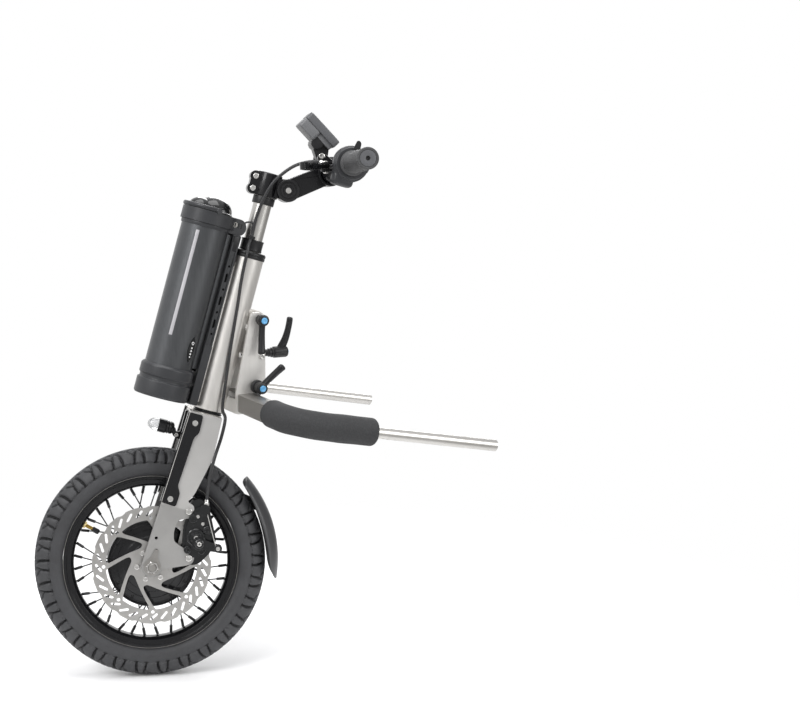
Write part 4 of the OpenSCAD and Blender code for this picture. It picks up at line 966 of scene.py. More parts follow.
lamp_axis = steer.at(0, 0, 206).forward()
ear = soften([[44, 208], [44, 198], [40.4, 194.4], [34.6, 194.4], [33.4, 198], [35, 201.6],
    [39, 203], [41, 208]], 2, 3)
piece("lamp_housing", [spun(lamp_axis, [[0.5, 43], [5.5, 43], [8.6, 45], [9.6, 48], [9.6, 49.4], [8.9, 50], [8.9, 51],
    [9.9, 51.6], [9.9, 53], [9.2, 53.6], [9.2, 54.6], [10.2, 55.2], [10.5, 57], [10.5, 67], [9.7, 67.6], [9.4, 66.6],
    [8.6, 62], [3.4, 57.4], [0.5, 57]], 0.5, 2, 64)] + pair(steer, ear, 3.3, 6), "lamp", "black_plastic",
    ["lamp_body"], sharp=30)
bolts("lamp_reflector", [lathe(lamp_axis, [[0.5, 57.3], [3.3, 57.7], [8.4, 62.2], [9.3, 66.4], [9.0, 66.4],
    [8.0, 62.6], [3.1, 58.3], [0.5, 58.2]], 48), lathe(lamp_axis, [[0.3, 57.5], [1.8, 57.5], [1.8, 60], [0.8, 61],
    [0.3, 61]], 24)] + [socket_screw(cross_spot(steer, 37, 198, s * 6), 3.2, 1.8) for s in SIDES], "lamp")
t = np.linspace(0, 1, 9)[:, None]
lens_line = join([[9.35, 66.8], [9.5, 70.5]], np.c_[9.5 * np.cos(t * 1.53), 71 + 13 * np.sin(t * 1.53)])
piece("lamp_glass", [lathe(lamp_axis, lens_line, 64)], "lamp", "clear_lens", ["lamp_lens"], sharp=60)


# Rear splash guard and its stay.

def mudguard_shape():
    """Shell over the tyre: an arc of the wheel crossed by an arc of 40 mm radius, narrowing to rounded ends."""
    crest, cross, wide, thick, start, sweep = 196, 40, 31, 2.5, 185.6, 50
    a = (0.5 - 0.5 * np.cos(np.linspace(0, np.pi, 71)))[:, None]
    blunt = np.where(a > 0.5, 26, 9)
    half = wide * (1 - np.abs(2 * a - 1) ** blunt) ** 0.5 * (0.86 + 0.14 * np.sin(np.pi * a)) + 0.6
    y = np.linspace(-1, 1, 33)[None, :] * half
    outer = crest - (cross - np.sqrt(cross ** 2 - y ** 2))
    angle = np.radians(start + sweep * a) + 0 * y
    rings = [np.stack([r * np.cos(angle), r * np.sin(angle), y], -1) for r in (outer, outer - thick)]
    return loft(wheel(np.concatenate([rings[0], rings[1][:, ::-1]], 1)))


stay = soften([[-36, 138], [-46, 126], [-140, 110], [-152, 116], [-147, 126], [-60, 140], [-44, 142]], 3, 3)
stay_screws = [socket_screw(cross_spot(hub, *at, -36), 3.6, 2.4) for at in ((-140, 118), (-122, 115))]
piece("mudguard_shell", [mudguard_shape()], "steering", "mudguard_grey", ["mudguard"], sharp=50)
piece("mudguard_stay", [beside(hub, stay, -35, -31), beside(hub, soften(rect(-34, -47, 138, 124), 2, 3), -50, -31)],
    "steering", "mudguard_grey", paint="black_plastic", bevel=0.8)
bolts("mudguard_screws", stay_screws, "steering")

# Brake caliper, with its lever arm, barrel adjuster and bare inner wire.

half_line = soften([[-34, 112], [-46, 117], [-61, 107], [-85, 60], [-80, 40], [-68, 20], [-56, 14],
    [-38, 30], [-30, 72]], 7, 4)
core_line = soften([[-38, 98], [-46, 106], [-57, 100], [-77, 60], [-69, 34], [-54, 26], [-42, 38], [-34, 70]], 8, 4)
bridge = soften([[-34, 112], [-46, 117], [-61, 107], [-85, 60], [-80, 50], [-71, 63], [-58, 76], [-36, 87.5]], 4, 3)
caliper_parts = [beside(hub, half_line, 31, 37.2), beside(hub, bridge, 37, 42), beside(hub, half_line, 41.7, 49.6),
    beside(hub, core_line, 49.4, 56.4), spun(cross_spot(hub, -52.6, 58.9, 56.2), [[0.5, 0], [14, 0], [14, 2.4],
    [12.6, 3.2], [12.6, 4.6], [10.6, 5], [10.6, 3.6], [8.6, 3.6], [8.6, 5.4], [6, 5.8], [6, 4.6],
    [0.5, 4.4]], 0.35, 2, 64)]
caliper_parts += [beside(hub, soften(rect(a - 8, a + 6, b - 7, b + 7), 4, 3), 43, 49.9) for a, b in caliper_bolts]
cover_line = soften([[-39, 92], [-46, 100], [-55, 93], [-58, 80], [-46, 74], [-38, 80]], 4, 4)
caliper_parts += [beside(hub, cover_line, 56, 59.4), spun(cross_spot(hub, -66, 74, 55),
    [[0.5, 0], [6.4, 0], [6.4, 5.4], [5, 6.2], [3, 6.2], [3, 4], [0.5, 4]], 0.5, 3, 40)]
caliper_parts += [hoop(cross_spot(hub, *at, 48.6), [[2, 0], [r, 0], [r, h - 0.8], [r - 0.8, h], [2.4, h],
    [2.4, h - 4], [2, h - 4]], 0.5, 3, 40) for *at, r, h in ((-41, 86, 6.6, 12.6),
    (-45, 38, 6, 11), (-66, 40, 5, 9.4))]
caliper_parts += [hoop(cross_spot(hub, -59, 52, 57.4 + 1.7 * k), rect(8.6, 10.9, 0, 1.4), 0.6,
    3, 48) for k in range(3)]
stop_line = soften([[-46, 95], [-48, 109], [-54, 112], [-63, 109], [-62, 98], [-54, 91]], 3, 3)
caliper_parts += [beside(hub, stop_line, 48, 58)]
piece("caliper_casting", caliper_parts, "steering", "black_metal", ["caliper_body"],
    paint="gloss_black", bevel=0.9, sharp=44)
barrel_path = hub(np.array([[-55, 53, 113.5], [-57.4, 53, 104]]))
barrel_axis = Frame(barrel_path[0], hub.axes[:, 1], np.cross(barrel_path[1] - barrel_path[0], hub.axes[:, 1]),
    barrel_path[1] - barrel_path[0])
barrel = soften([[2.2, -5], [3.6, -5], [3.6, -1], [4.6, -0.4], [4.6, 5], [3, 5.6], [3, 10], [1, 10.4]], 0.4, 2, False)
wire = spline(hub(np.array([[-57.6, 53, 103], [-66.5, 60, 86], [-78, 66, 65], [-84.5, 68, 54],
    [-86.5, 67, 50.5]])), 8)
bolts("barrel_adjuster",
    [lathe(barrel_axis, barrel, 40, ripple=lambda t, z: 0.16 * np.cos(14 * t) * (z > 0) * (z < 5))]
    + [socket_screw(cross_spot(hub, *at, y), r, 1.6) for *at, y, r in ((-52.6, 58.9, 60.6, 3.6), (-47, 91, 59.4, 2.6),
    (-57, 82, 59.4, 2.6))], "steering")
caliper_wire = piece("caliper_wire", [tube(wire, 0.8, 8)], None, "satin_steel", paint="rotor_steel")
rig.blend(caliper_wire, "steering", "caliper_lever", hub((-60, 55, 98)), hub((-86.5, 67, 50.5)))
arm_line = join(arc((-59, 52), 9.2, -80, 80, 14), soften([[-59, 61], [-76, 58.4], [-90, 58], [-94, 52], [-90, 46],
    [-76, 46.4], [-59, 43]], 3, 3, False)[1:-1])
piece("caliper_lever_arm", [beside(hub, arm_line, 62.3, 66.6, [circle((-59, 52), 4)]),
    spun(cross_spot(hub, -59, 52, 66.2), [[0.4, 0], [7.4, 0], [7.4, 2.4], [5.6, 3.6], [0.4, 3.6]], 0.5, 3, 40),
    spun(cross_spot(hub, -88, 52, 61.6), [[0.4, 0], [6.4, 0], [6.4, 7], [5.4, 7.8], [0.4, 7.8]], 0.6, 3, 40)],
    "caliper_lever", "black_metal", ["caliper_arm"], paint="gloss_black", bevel=0.6, sharp=44)
bolts("caliper_lever_bolts", [socket_screw(cross_spot(hub, -88, 52, 69.2), 3.2, 1.4),
    socket_screw(cross_spot(hub, -59, 52, 69.4), 3.4, 1.2)], "caliper_lever")

# Head tube fittings, mast collars and the battery.

cap_line = soften([[14.6, 493.2], [25.5, 493.2], [25.5, 496.4], [23.6, 498.8], [14.6, 499]], 0.9, 3)
piece("headset_cap", [lathe(column, cap_line, 96, True), hoop(column, rect(24, 25.2, 488, 493), 0.5, 3, 96)]
    + [lathe(column, rect(14.35, 20, z, z + 8), 64, True) for z in (248, 485)], "column", "black_metal", ["headset"],
    paint="black_plastic", sharp=30)
piece("mast_rings", [hoop(steer, [[14.3, 499.4], [17.4, 499.4], [17.4, 502], [17, 502.6], [17, 514.4], [17.4, 515],
    [17.4, 517.2], [14.3, 517.2]], 0.4, 2, 72), hoop(steer, rect(14.3, 17, 573, 584.6), 0.6, 3, 72)], "steering",
    "black_metal", ["mast_collars"], paint="black_plastic", sharp=30)

pack_axis = column.at(PACK_X, 0, 0)
piece("battery_bottom_cup", [spun(pack_axis, [[0.6, 250], [39.5, 250], [41.5, 253], [41.5, 274], [38.6, 276],
    [38.6, 280.4], [40.7, 282.4], [40.7, 296], [38.6, 298.6], [37, 300], [36.05, 300], [36.05, 256], [0.6, 256]], 0.8,
    3, 120)], "battery", "dark_plastic", ["battery_cup"], sharp=30)
tab = join(arc((38, 0), 13, 90, 270, 20), [[42, -13.6]], arc((PACK_X, 0), 40, -154, 154, 60), [[42, 13.6]])
lobe = join([[47, 541.4]], arc((34, 528.6), 12.8, 90, 250, 20), [[47, 516.6]])
piece("battery_top_collar", [prism(column, tab, 522, 541, [circle((PACK_X, 0), PACK_R, 96)]),
    beside(column, lobe, -13.4, 13.4)], "battery", "dark_plastic", ["battery_collar"],
    bevel=1.4, sharp=40, segments=3)
lip = soften([[36.1, 516], [37.4, 516], [37.8, 521.9], [36.1, 521.9]], 0.5, 2)
piece("battery_neck_ring", [lathe(pack_axis, lip, 120, True)], "battery", "dark_plastic")
rise = np.linspace(0, 1, 14)[:, None]


def lid(radius, high):
    """Profile of a rounded lid: a quarter of an ellipse standing on the plinth."""
    return join([[0.6, 543]], np.c_[radius * np.cos(rise * 1.555), 543.5 + high * np.sin(rise * 1.555)])


piece("battery_top_dome", [spun(pack_axis, [[0.6, 540.6], [35.6, 540.6], [35.6, 543], [33, 544.4], [0.6, 544.4]], 0.6,
    3, 120), lathe(column.at(74, 0, 0), lid(27, 21), 96), lathe(column.at(97, 0, 0), lid(19, 15), 72)]
    + [hoop(cross_spot(column, PACK_X, 543.8, s * 31), [[2.1, 0], [4.4, 0], [4.4, 5], [2.1, 5.1]], 0.5, 2, 32)
    for s in SIDES], "battery", "gloss_black", ["battery_dome"], sharp=35)
swing = np.radians(np.linspace(-90, 90, 41))
bail = column(np.stack([PACK_X + 39 * np.cos(swing), 39 * np.sin(swing), np.full(41, 545)], 1))
piece("carrying_bail", [tube(bail, 2.2, 20, 1.45, -column.axes[:, 1])]
    + [lathe(cross_spot(column, PACK_X, 543.8, s * 34.3), [[0.3, 0], [1.9, 0], [1.9, 2], [4.4, 2.4], [4.4, 6.6],
    [3.4, 7.4], [0.3, 7.4]], 28) for s in SIDES], "carry_bail", "dark_plastic", ["battery_handle"])

wall_line = soften(rect(27, 40, 298, 517), 1.5, 3)
wall_holes = [slot_hole((33.6, s), 14, 3.6, 90) for s in (378, 414, 450)] + [circle((33.6, s), 1.8, 16)
    for s in (362, 396, 432, 468)]
ridge_lines = [soften(rect(a, a + 2.2, 346, 505), 0.6, 2) for a in (28, 37)]
ridge_lines.append(soften(rect(27, 39.8, 250.4, 344), 1.5, 3))
piece("battery_rail_channel", pair(column, wall_line, 10, 16, wall_holes)
    + [beside(column, rect(27, 32, 298, 517), -10, 10)] + [shape for line in ridge_lines for shape in pair(column,
    line, 15.8, 17.4)], "column", "dark_plastic", ["battery_rail"], bevel=0.5, sharp=44)

# Stem: a split clamp on the mast, and an arm that tilts on its knuckle.

sleeve = soften([[14.35, 585], [18.4, 585], [19.3, 586.4], [19.3, 620.6], [18.2, 622], [14.35, 622]], 0.7, 3)
ears = join(arc((22, 593), 8.4, -100, 40, 16), arc((22, 612), 8.4, -40, 100, 16), [[5, 619.6], [5, 586.4]])
knuckle = join(arc(STEM, 17.3, 80, 280, 30), soften([STEM + (3, -17), [-14, 589], [-3, 589], [-3, 617], [-14, 617],
    STEM + (3, 17)], 3, 3, False))
clamp_parts = [lathe(steer, sleeve, 72, True), *pair(steer, ears, 1, 14), beside(steer, knuckle, -14.6,
    14.6, [circle(STEM, 8)])]
piece("stem_split_clamp", clamp_parts, "steering", "black_metal", ["stem_clamp"], bevel=1.0, sharp=42)

neck_side = neck_way[::-1] * (-1, 1)
cheek = join(arc(STEM, 17.5, NECK_DEG + 66, NECK_DEG + 294, 36), arc(BAR, 19.9, NECK_DEG - 131, NECK_DEG + 131, 40))
web = join([STEM + 19.5 * neck_way + s * 15 * neck_side for s in SIDES],
    arc(BAR, 19.7, NECK_DEG - 131, NECK_DEG + 131, 40))
arm_parts = pair(steer, cheek, 15, 22, [circle(STEM, 8), circle(BAR, 15.9, 40)])
arm_parts.append(beside(steer, web, -15, 15, [circle(BAR, 15.9, 40)]))
piece("stem_tilting_arm", arm_parts, "stem", "black_metal", ["stem_arm"], bevel=1.6, sharp=42, segments=3)
piece("stem_pivot_covers", [spun(cross_spot(steer, *STEM, s * 22), [[0.5, 0], [17.4, 0], [17.4, 1.8], [16.4, 3],
    [13.8, 3], [13.2, 1.9], [11.8, 1.9], [11.2, 3], [8.6, 3.2], [7.8, 1.6], [0.5, 1.6]], 0.35, 2, 72) for s in SIDES],
    "stem", "black_metal", ["stem_pivot_bolt"], paint="black_plastic", sharp=30)
neck_up = steer.axes[:, ::2] @ neck_way
cap_at = Frame(steer(np.insert(BAR + 19.2 * neck_way, 1, 0)), LEFT, np.cross(neck_up, LEFT), neck_up)
bolts("stem_screws", [socket_screw(cross_spot(steer, *STEM, s * 23.4), 4.6, 2.4) for s in SIDES]
    + [socket_screw(cap_at.at(y, 0, 0), 3.2, 2.0) for y in (-11, 11)], "stem")


# Handlebar, grips and controls. The bar frame's Z runs out along the left grip, X points down and Y to the rear.

def mirrored(points):
    """The same points on the other side of the steered wheel's plane."""
    points = np.asarray(points)
    return points - 2 * ((points - FOOT) @ LEFT)[..., None] * LEFT


half_bar = soften(np.array([steer((BAR[0], 0, BAR[1])), steer((BAR[0], 32, BAR[1])), bar.origin,
    bar((0, 0, 170))]), 0.016, 10, False)
half_bar = join(half_bar[:1] + np.linspace(0, 0.9, 10)[:, None] * (half_bar[1:2] - half_bar[:1]), half_bar[1:])
bar_path = join(mirrored(half_bar[:0:-1]), half_bar)
bar_off = np.abs((bar_path - FOOT) @ LEFT) * 1000
bar_radius = 11.1 + 4.8 * np.clip((44 - bar_off) / 10, 0, 1) ** 0.8
piece("handlebar_tube", [tube(bar_path, bar_radius, 40, 1.0, UP)], "stem", "black_metal", ["handlebar"])

reach = np.linspace(71, 168, 98)
swell = 15.5 + 0.6 * np.sin(np.pi * (reach - 71) / 97) ** 2
grip_line = join([[11.4, 64], [18.2, 64], [19, 64.8], [19, 67], [17.6, 68.4], [15.8, 69.6]], np.c_[swell, reach],
    [[15.7, 169.4], [16.2, 170.2], [16.2, 174.4], [15, 176], [12.6, 176], [12.1, 175.2], [3.2, 174.8],
    [2.8, 171.5], [0.4, 171.5]])


def knurl(t, z):
    """Flat-topped lozenges from two crossed families of shallow grooves, fading out at both ends."""
    starts, slant, deep, first, last = 9, 0.32, 0.45, 73, 166
    waves = np.minimum(np.abs(np.sin(starts * t + slant * z)), np.abs(np.sin(starts * t - slant * z)))
    fade = np.clip((z - first) / 4, 0, 1) * np.clip((last - z) / 4, 0, 1)
    return -deep * fade * (1 - np.clip(waves * 3, 0, 1))


left_grip = lathe(bar, grip_line, 192, ripple=knurl)
grip_cap = hoop(bar, [[3.6, 174.8], [11.8, 175], [11.8, 176], [3.6, 175.8]], 0.2, 2, 64)
for name, (points, faces) in (("left_grip", left_grip), ("right_grip", (mirrored(left_grip[0]), left_grip[1]))):
    piece(name + "_rubber", [(points, faces)], "stem", "grip_rubber", [name], sharp=40)
piece("grip_end_rings", [grip_cap, (mirrored(grip_cap[0]), grip_cap[1])], "stem", "grip_rubber",
    paint="graphite", sharp=40)

bezel_at = Frame(bar((0, 0, 47)), bar.axes[:, 2], bar.axes[:, 0], bar.axes[:, 1])
pod_parts = [hoop(bar, [[11.3, 34], [18, 34], [23.6, 36], [26.4, 40], [27, 44], [27, 54], [26, 56], [24.8, 56.4],
    [24.4, 58.6], [23, 60], [11.3, 60]], 0.8, 3, 96, lambda t, z: 0.5 * np.clip(np.cos(t - 0.2), 0,
    1) ** 3 * (z > 36) * (z < 56)), hoop(bezel_at, [[4.5, 20], [7, 20], [7, 27.2], [6.2, 28], [4.5, 28]], 0.5, 3, 40),
    cushion_box(Frame(bar((14, -6, 42)), bar.axes[:, 2], -bar.axes[:, 1], bar.axes[:, 0]), 26, 34, -6, 21, 9, 6)]
piece("control_housing", pod_parts, "stem", "black_plastic", ["control_pod"], paint="dark_plastic", sharp=34)
piece("mode_push_button", [spun(bezel_at, [[0.4, 20.8], [4, 20.8], [4, 28.4], [3.2, 29.2], [0.4, 28.8]], 0.5, 3, 36)],
    "mode_button", "button_grey", ["pod_button"])
fin = soften([[14, -4.5], [25, -5.2], [32, -4.6], [35, -1.5], [34.4, 2.4], [30, 3.2], [24, 4.4], [14, 4.8]], 2.4, 4)
piece("thumb_paddle", [hoop(bar, rect(12, 18, 60.4, 63.6), 0.5, 3, 64), prism(bar.turned(2, 178), fin, 60.5, 63.5)],
    "thumb_throttle", "black_plastic", ["throttle"], bevel=0.8, sharp=42)

blade_at = Frame(perch((0, -32, 13)), perch.axes[:, 2], perch.axes[:, 1], -perch.axes[:, 0])
perch_ear = soften([[-7, 32], [7, 32], [7, -3], [4, -7], [-4, -7], [-7, -3]], 3, 4)
piece("lever_perch", [hoop(bar, [[11.2, 6], [15.4, 6], [16, 7], [16, 19], [15.4, 20], [11.2, 20]], 0.5, 3, 64)]
    + [prism(blade_at, perch_ear, *sorted((s * 3.3, s * 7.2)), [circle((0, 0), 2.6)]) for s in SIDES]
    + [cushion_box(blade_at.at(-2, 20, 0), 12, 12, -9, 9, 3, 1.5)], "stem", "black_metal",
    ["brake_perch"], bevel=0.8, sharp=42)
perch_bits = [socket_screw(blade_at.at(0, 0, 7.2), 4, 2), nut(blade_at.turned(0, 180).at(0, 0, 7.2), 7.4, 2.4, 1.2),
    socket_screw(blade_at.at(-2, 24, 8.8), 3, 1.8)]
bolts("perch_screws", perch_bits, "stem")
pad = soften([[30, -27], [50, -40], [86, -54], [92, -52.4], [93.6, -47], [89, -42], [54, -28], [38, -15]], 5, 5)
finger = soften([[-5, -3], [4, -8], [20, -20], [50, -39.6], [86, -53.6], [92, -52], [93.4, -47], [89, -42.6],
    [54, -28.4], [27, -7], [12, 4.6], [0, 6], [-5, 3]], 4.5, 4)
piece("brake_finger_lever", [prism(blade_at, finger, -3.2, 3.2, [circle((0, 0), 2.4), circle((16, -8), 2.6, 16)]),
    prism(blade_at, pad, -5, 5)], "brake_blade", "black_metal", ["brake_lever"], paint="gloss_black",
    bevel=1.7, sharp=46, segments=3)

# Display, on a hinged clamp with a knurled knob.

disp = steer.at(BAR[0] + 33, 0, BAR[1] + 54).turned(1, -31.8)
HINGE = BAR + 21
piece("display_front", [cushion_box(disp, 63, 58, 1.6, 13.9, 5, 1.6)], "display", "dark_plastic", ["display_case"],
    paint="graphite", sharp=50)
case_parts = [cushion_box(disp.at(14.6, 0, 0), 33, 56, -13.9, 2, 5, 2),
    cushion_box(disp.at(-14, 0, 0), 30, 48, -6, 2, 4, 1.5)]
piece("display_back", case_parts, "display", "dark_plastic", paint="slate", sharp=50)
knob_at = disp.at(-9, 0, -12).sideways()
lug_line = soften([[-36, -14], [-34, -27.4], [-27, -28.4], [-21, -26], [-10, -21], [-4, -13],
    [-8, -4], [-28, -4]], 3.5, 4)
piece("display_mount", [spun(knob_at, both_sides([[0.5, -23.4], [8.6, -23.4], [9.4, -22]]), 0.6, 3, 72,
    ripple=lambda t, z: 0.45 * np.cos(24 * t) * (np.abs(z) > 8) * (np.abs(z) < 22)), beside(disp, lug_line, -14, 14),
    spun(cross_spot(steer, *HINGE, 0.001), rect(0.4, 5, -23.4, 23.4), 0.5, 2, 40)], "display", "dark_plastic",
    paint="black_plastic", bevel=0.7, sharp=42)
piece("display_glass", [cushion_box(disp, 51, 46, 13.7, 14.7, 2.5, 0.3)], "display", "screen",
    ["display_screen"], sharp=50)
lug = join(arc(BAR, 19.6, 80, 370, 44), soften([BAR + (19, 4), HINGE + (6, -3), HINGE + (5, 4), HINGE + (-3, 6), BAR
    + (3, 19.4)], 3, 4, False)[1:-1])
piece("display_bar_clamp", pair(steer, lug, 24, 32, [circle(BAR, 15.9, 40), circle(HINGE, 2.6, 20)]), "stem",
    "black_metal", ["display_clamp"], bevel=0.8, sharp=42)
bolts("display_hinge_screws", [socket_screw(cross_spot(steer, *HINGE, s * 32), 4.6, 3.4) for s in SIDES], "display")

# Docking frame: crossbar, carriage, foam sleeves and three ratchet clamps.

square = soften(rect(-14, 14, -14, 14), 1.8, 4)
half_cross = 500 * np.ptp(CROSSBAR[:, 1])
piece("crossbar_tube", [beside(dock, square, -half_cross, half_cross, [circle((0, 0), 8.9, 40)])], "docking_frame",
    "satin_steel", ["crossbar"], bevel=0.5, sharp=50)
px, pz = PIVOT[[0, 2]]
plate = soften([[px + 14, pz + 11], [17, 18], [17, -17], [-10, -17], [-10, -14], [14, -14], [14, 14], [-32, 14],
    [-32, pz + 5], [-27, pz + 11]], 3.5, 4)
jaw = soften([[14, -14], [14, 6], [17, 6], [17, -17], [-10, -17], [-10, -14]], 1.2, 3)
rivets = [circle((px, pz), 4.1, 24), circle((-15, 25), 4.1, 24)]
piece("carriage_plates", pair(dock, plate, PLATE_IN, PLATE_OUT, rivets) + [beside(dock, line, -PLATE_IN, PLATE_IN)
    for line in (jaw, rect(-32, -27, 34, 105.6))], "docking_frame", "satin_silver", ["carriage"],
    paint="plate_silver", bevel=0.7, sharp=44)
bolts("carriage_screws", [socket_screw(cross_spot(dock, -26, 70, s * PLATE_OUT), 4.2, 3)
    for s in SIDES], "docking_frame")


def clamp(name, frm, stud_from, h, barrel, bend, tip_head=None, sleeve=None):
    """Ratchet clamp along the frame's Z: threaded stud, fluted barrel from h on, blue cap, handle along the bend."""
    top = h + barrel
    barrel_line = soften([[4, h], [7.6, h], [7.6, h + 3], [8.4, h + 3.8], [8.8, h + 5], [8.8, top - 2], [7.8, top],
        [5.2, top + 0.6], [5.2, top - 1], [0.4, top - 1]], 0.5, 3, False)
    path = spline(np.array(bend) + (0, 0, h), 8)
    run = np.linspace(0, 1, len(path))
    wide = np.interp(run, [0, 0.3, 0.86, 0.94, 0.98, 1], [4.4, 4.6, 5.9, 5.5, 4.0, 1.6])
    deep = np.interp(run, [0, 0.25, 0.6, 0.88, 0.95, 0.98, 1], [7.6, 6.4, 4.9, 4.6, 4.2, 3.2, 1.4])
    handle = tube(frm(path), wide, 24, deep / wide, frm.axes[:, 1])
    fluted = lathe(frm, barrel_line, 72, ripple=lambda t, z: 0.25 * np.cos(18 * t) * (z > h + 5) * (z < top - 2))
    extras = [lathe(frm, line, 48) for line in (tip_head, sleeve) if line is not None]
    piece(name + "_handle", [fluted, handle] + extras, name, "black_plastic",
        [name.replace("clamp", "lever")], sharp=44)
    bolts(name + "_stud", [lathe(frm, threaded(3.9, 0.3, stud_from, h + 2, 60), 28)], name)
    cap_line = soften([[0.4, top - 1.4], [5, top - 1.4], [5, top + 1.2], [4.2, top + 2], [2.4, top + 2],
        [2, top + 1.4], [0.4, top + 1.4]], 0.4, 3, False)
    piece(name + "_cap", [lathe(frm, cap_line, 40)], name, "black_plastic", paint="blue_cap")


def pin_frame(spot, handle):
    """Frame of a clamp on a cross pin, with Z to the left."""
    return Frame(dock(spot), handle, np.cross((0, 1, 0), handle), (0, 1, 0))


head = soften([[0.4, -36.6], [7.2, -36.6], [8.5, -35.4], [8.5, -30.2], [3, -30.2]], 0.8, 3, False)
hung = [[1, 0, 9], [10, 0, 9.4], [24, 0, 10.4], [38, 0, 12.6], [47, 0, 14.4], [52, 0, 15.6]]
raised = [[1, 0, 15], [10, 0, 20], [21, 0, 25.5], [35, 0, 30], [47, 0, 32.6], [54, 0, 33.4]]
short = [[1, 0, 9], [9, 0, 11.5], [20, 0, 15.6], [32, 0, 21], [41, 0, 25.6], [46, 0, 28.4]]
clamp("pivot_clamp", pin_frame(PIVOT, (0.087, 0, -0.996)), -36, 30.1, 17, hung, head)
clamp("tilt_clamp", Frame(dock((0, 0, 70)), (0, 0, 1), (0, 1, 0), (-1, 0, 0)), 2.4, 54, 27, raised,
    sleeve=soften([[3.5, 44], [5.4, 44], [5.4, 49], [6.6, 49.6], [6.6, 54.4], [3.5, 54.4]], 0.4, 2, False))
clamp("hook_clamp", pin_frame((-15, 0, 25), (-0.656, 0, 0.755)), -36, 41, 18, short, head,
    soften([[3.5, 30.4], [5, 30.4], [5, 33], [10.4, 33.6], [10.4, 39.6], [8, 41.2], [3.5, 41.2]], 0.5, 2, False))


def foam_shape(side):
    """Sleeve along the bent arm: a round section with rounded ends and slow dents of a few tenths of a millimetre."""
    slope_deg, bend, out, back, bore, wall, tip = -11, 55, 160, -129, 14, 7, 7
    turn = np.radians(np.linspace(0, 90, 25))
    flat = join(np.c_[np.zeros(10), np.linspace(half_cross + 1, out - 2, 10)], np.c_[bend * np.cos(turn) - bend, out
        + bend * np.sin(turn)], np.c_[np.linspace(-bend - 4, back, 20), np.full(20, out + bend)])
    run = join([0], np.cumsum(np.linalg.norm(np.diff(flat, axis=0), axis=1)))
    close = np.array([0, 0.4, 1.2, 2.6, 4.6, tip])
    ends = join(close, np.linspace(10, run[-1] - 10, 60), run[-1] - close[::-1])
    path = np.stack([np.interp(ends, run, flat[:, 0]), side * np.interp(ends, run, flat[:, 1]), 0 * ends], 1)
    from_end = np.minimum(ends, run[-1] - ends)
    curve = np.sqrt(np.clip(1 - ((tip - np.minimum(from_end, tip)) / tip) ** 2, 0, 1))
    radius = bore + wall * curve + 0.22 * np.sin(ends / 19) + 0.15 * np.sin(ends / 7.3 + side)
    return tube(dock.turned(1, slope_deg)(path), radius, 48, 1.0, UP)


for side, name in ((1, "left"), (-1, "right")):
    sleeve_piece = piece(name + "_foam_sleeve", [foam_shape(side)], name + "_docking_arm", "foam",
        [name + "_foam"], sharp=60)
    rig.padded(sleeve_piece)


# Brake cable, held at the perch, on the mast, along the column and at the caliper: each piece bends across one joint.

def cable(name, route, radius, a, b, start, end, replaces=()):
    """Round cable through points of the steered frame, on body a before the start point and on b after the end."""
    path = spline(steer(np.array(route, float)), 10)
    obj = piece(name, [tube(path, radius, 14)], None, "cable_black", replaces)
    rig.blend(obj, a, b, steer(start), steer(end))


bar_route = [[-80.5, 63, 653.6], [-72.5, 59, 656.5], [-60, 54, 656], [-45, 46, 651], [-30, 40, 642], [-17, 35, 628],
    [-6, 31.5, 611], [0, 28.5, 594], [3, 25, 578], [5, 21, 560], [6, 19, 540], [5, 18, 525]]
upper_route = [[5, 18, 525.4], [6, 21, 510], [6, 29, 497], [5, 29, 470], [3, 28.4, 445],
    [0, 28, 420], [-4, 27.6, 380]]
lower_route = [[-4, 27.6, 380.4], [-8, 27, 340], [-14, 26, 290], [-19, 24.6, 256], [-27, 26, 242], [-27, 42, 215],
    [-24, 56, 185], [-24, 58, 155], [-28, 54, 126], [-30, 53, 112]]
cable("cable_to_mast", bar_route, 2.5, "stem", "steering", (-60, 45, 664), (-4, 25, 575), ["brake_cable_bar"])
cable("cable_past_headset", upper_route, 2.5, "steering", "column", (5, 18, 524),
    (5, 29, 470), ["brake_cable_column"])
cable("cable_to_fork", lower_route, 2.5, "column", "steering", (-17, 25.5, 270), (-27, 30, 228))
cable("gauge_lead", [[5, 16.6, 532], [9, 20, 541], [19, 21, 539], [26, 15, 526], [29, 8, 516]], 1.4, "steering",
    "column", (7, 18, 536), (26, 14, 524))


def along_path(p, q):
    """Frame at p of the steered frame with Z towards q."""
    a, b = steer(np.array(p, float)), steer(np.array(q, float))
    x = np.cross(b - a, UP)
    return Frame(a, x, np.cross(b - a, x), b - a)


bolts("perch_barrel", [hoop(along_path((-63, 55.4, 656.3), (-80.5, 63, 653.6)), [[2.5, 0], [3.4, 0], [3.4, 9],
    [4.4, 9.6], [4.4, 14], [3.4, 14.6], [3.4, 17], [2.5, 17]], 0.4, 2, 32,
    lambda t, z: 0.2 * np.cos(12 * t) * (z > 9.4) * (z < 14.4))], "stem")
hold = soften([[-4, 13], [4, 13], [7.4, 16], [7.4, 21], [4, 23], [-1.4, 22], [-4, 19]], 2, 3)
piece("cable_clip", [prism(steer.at(3, 0, 0), hold, 517.5, 521.6)], "steering", "black_metal",
    paint="black_plastic", bevel=0.5)


# Charge gauge, painted shade in the lock tab slots, and the block that the battery latches on.

def wrapped(points):
    """Flat points (mm round the shell, height, mm out of it) laid on the battery shell's left rear."""
    u, v, w = np.moveaxis(np.asarray(points, float), -1, 0)
    t = np.radians(116) + u / PACK_R
    return column(np.stack([PACK_X + (PACK_R + w) * np.cos(t), (PACK_R + w) * np.sin(t), v], -1))


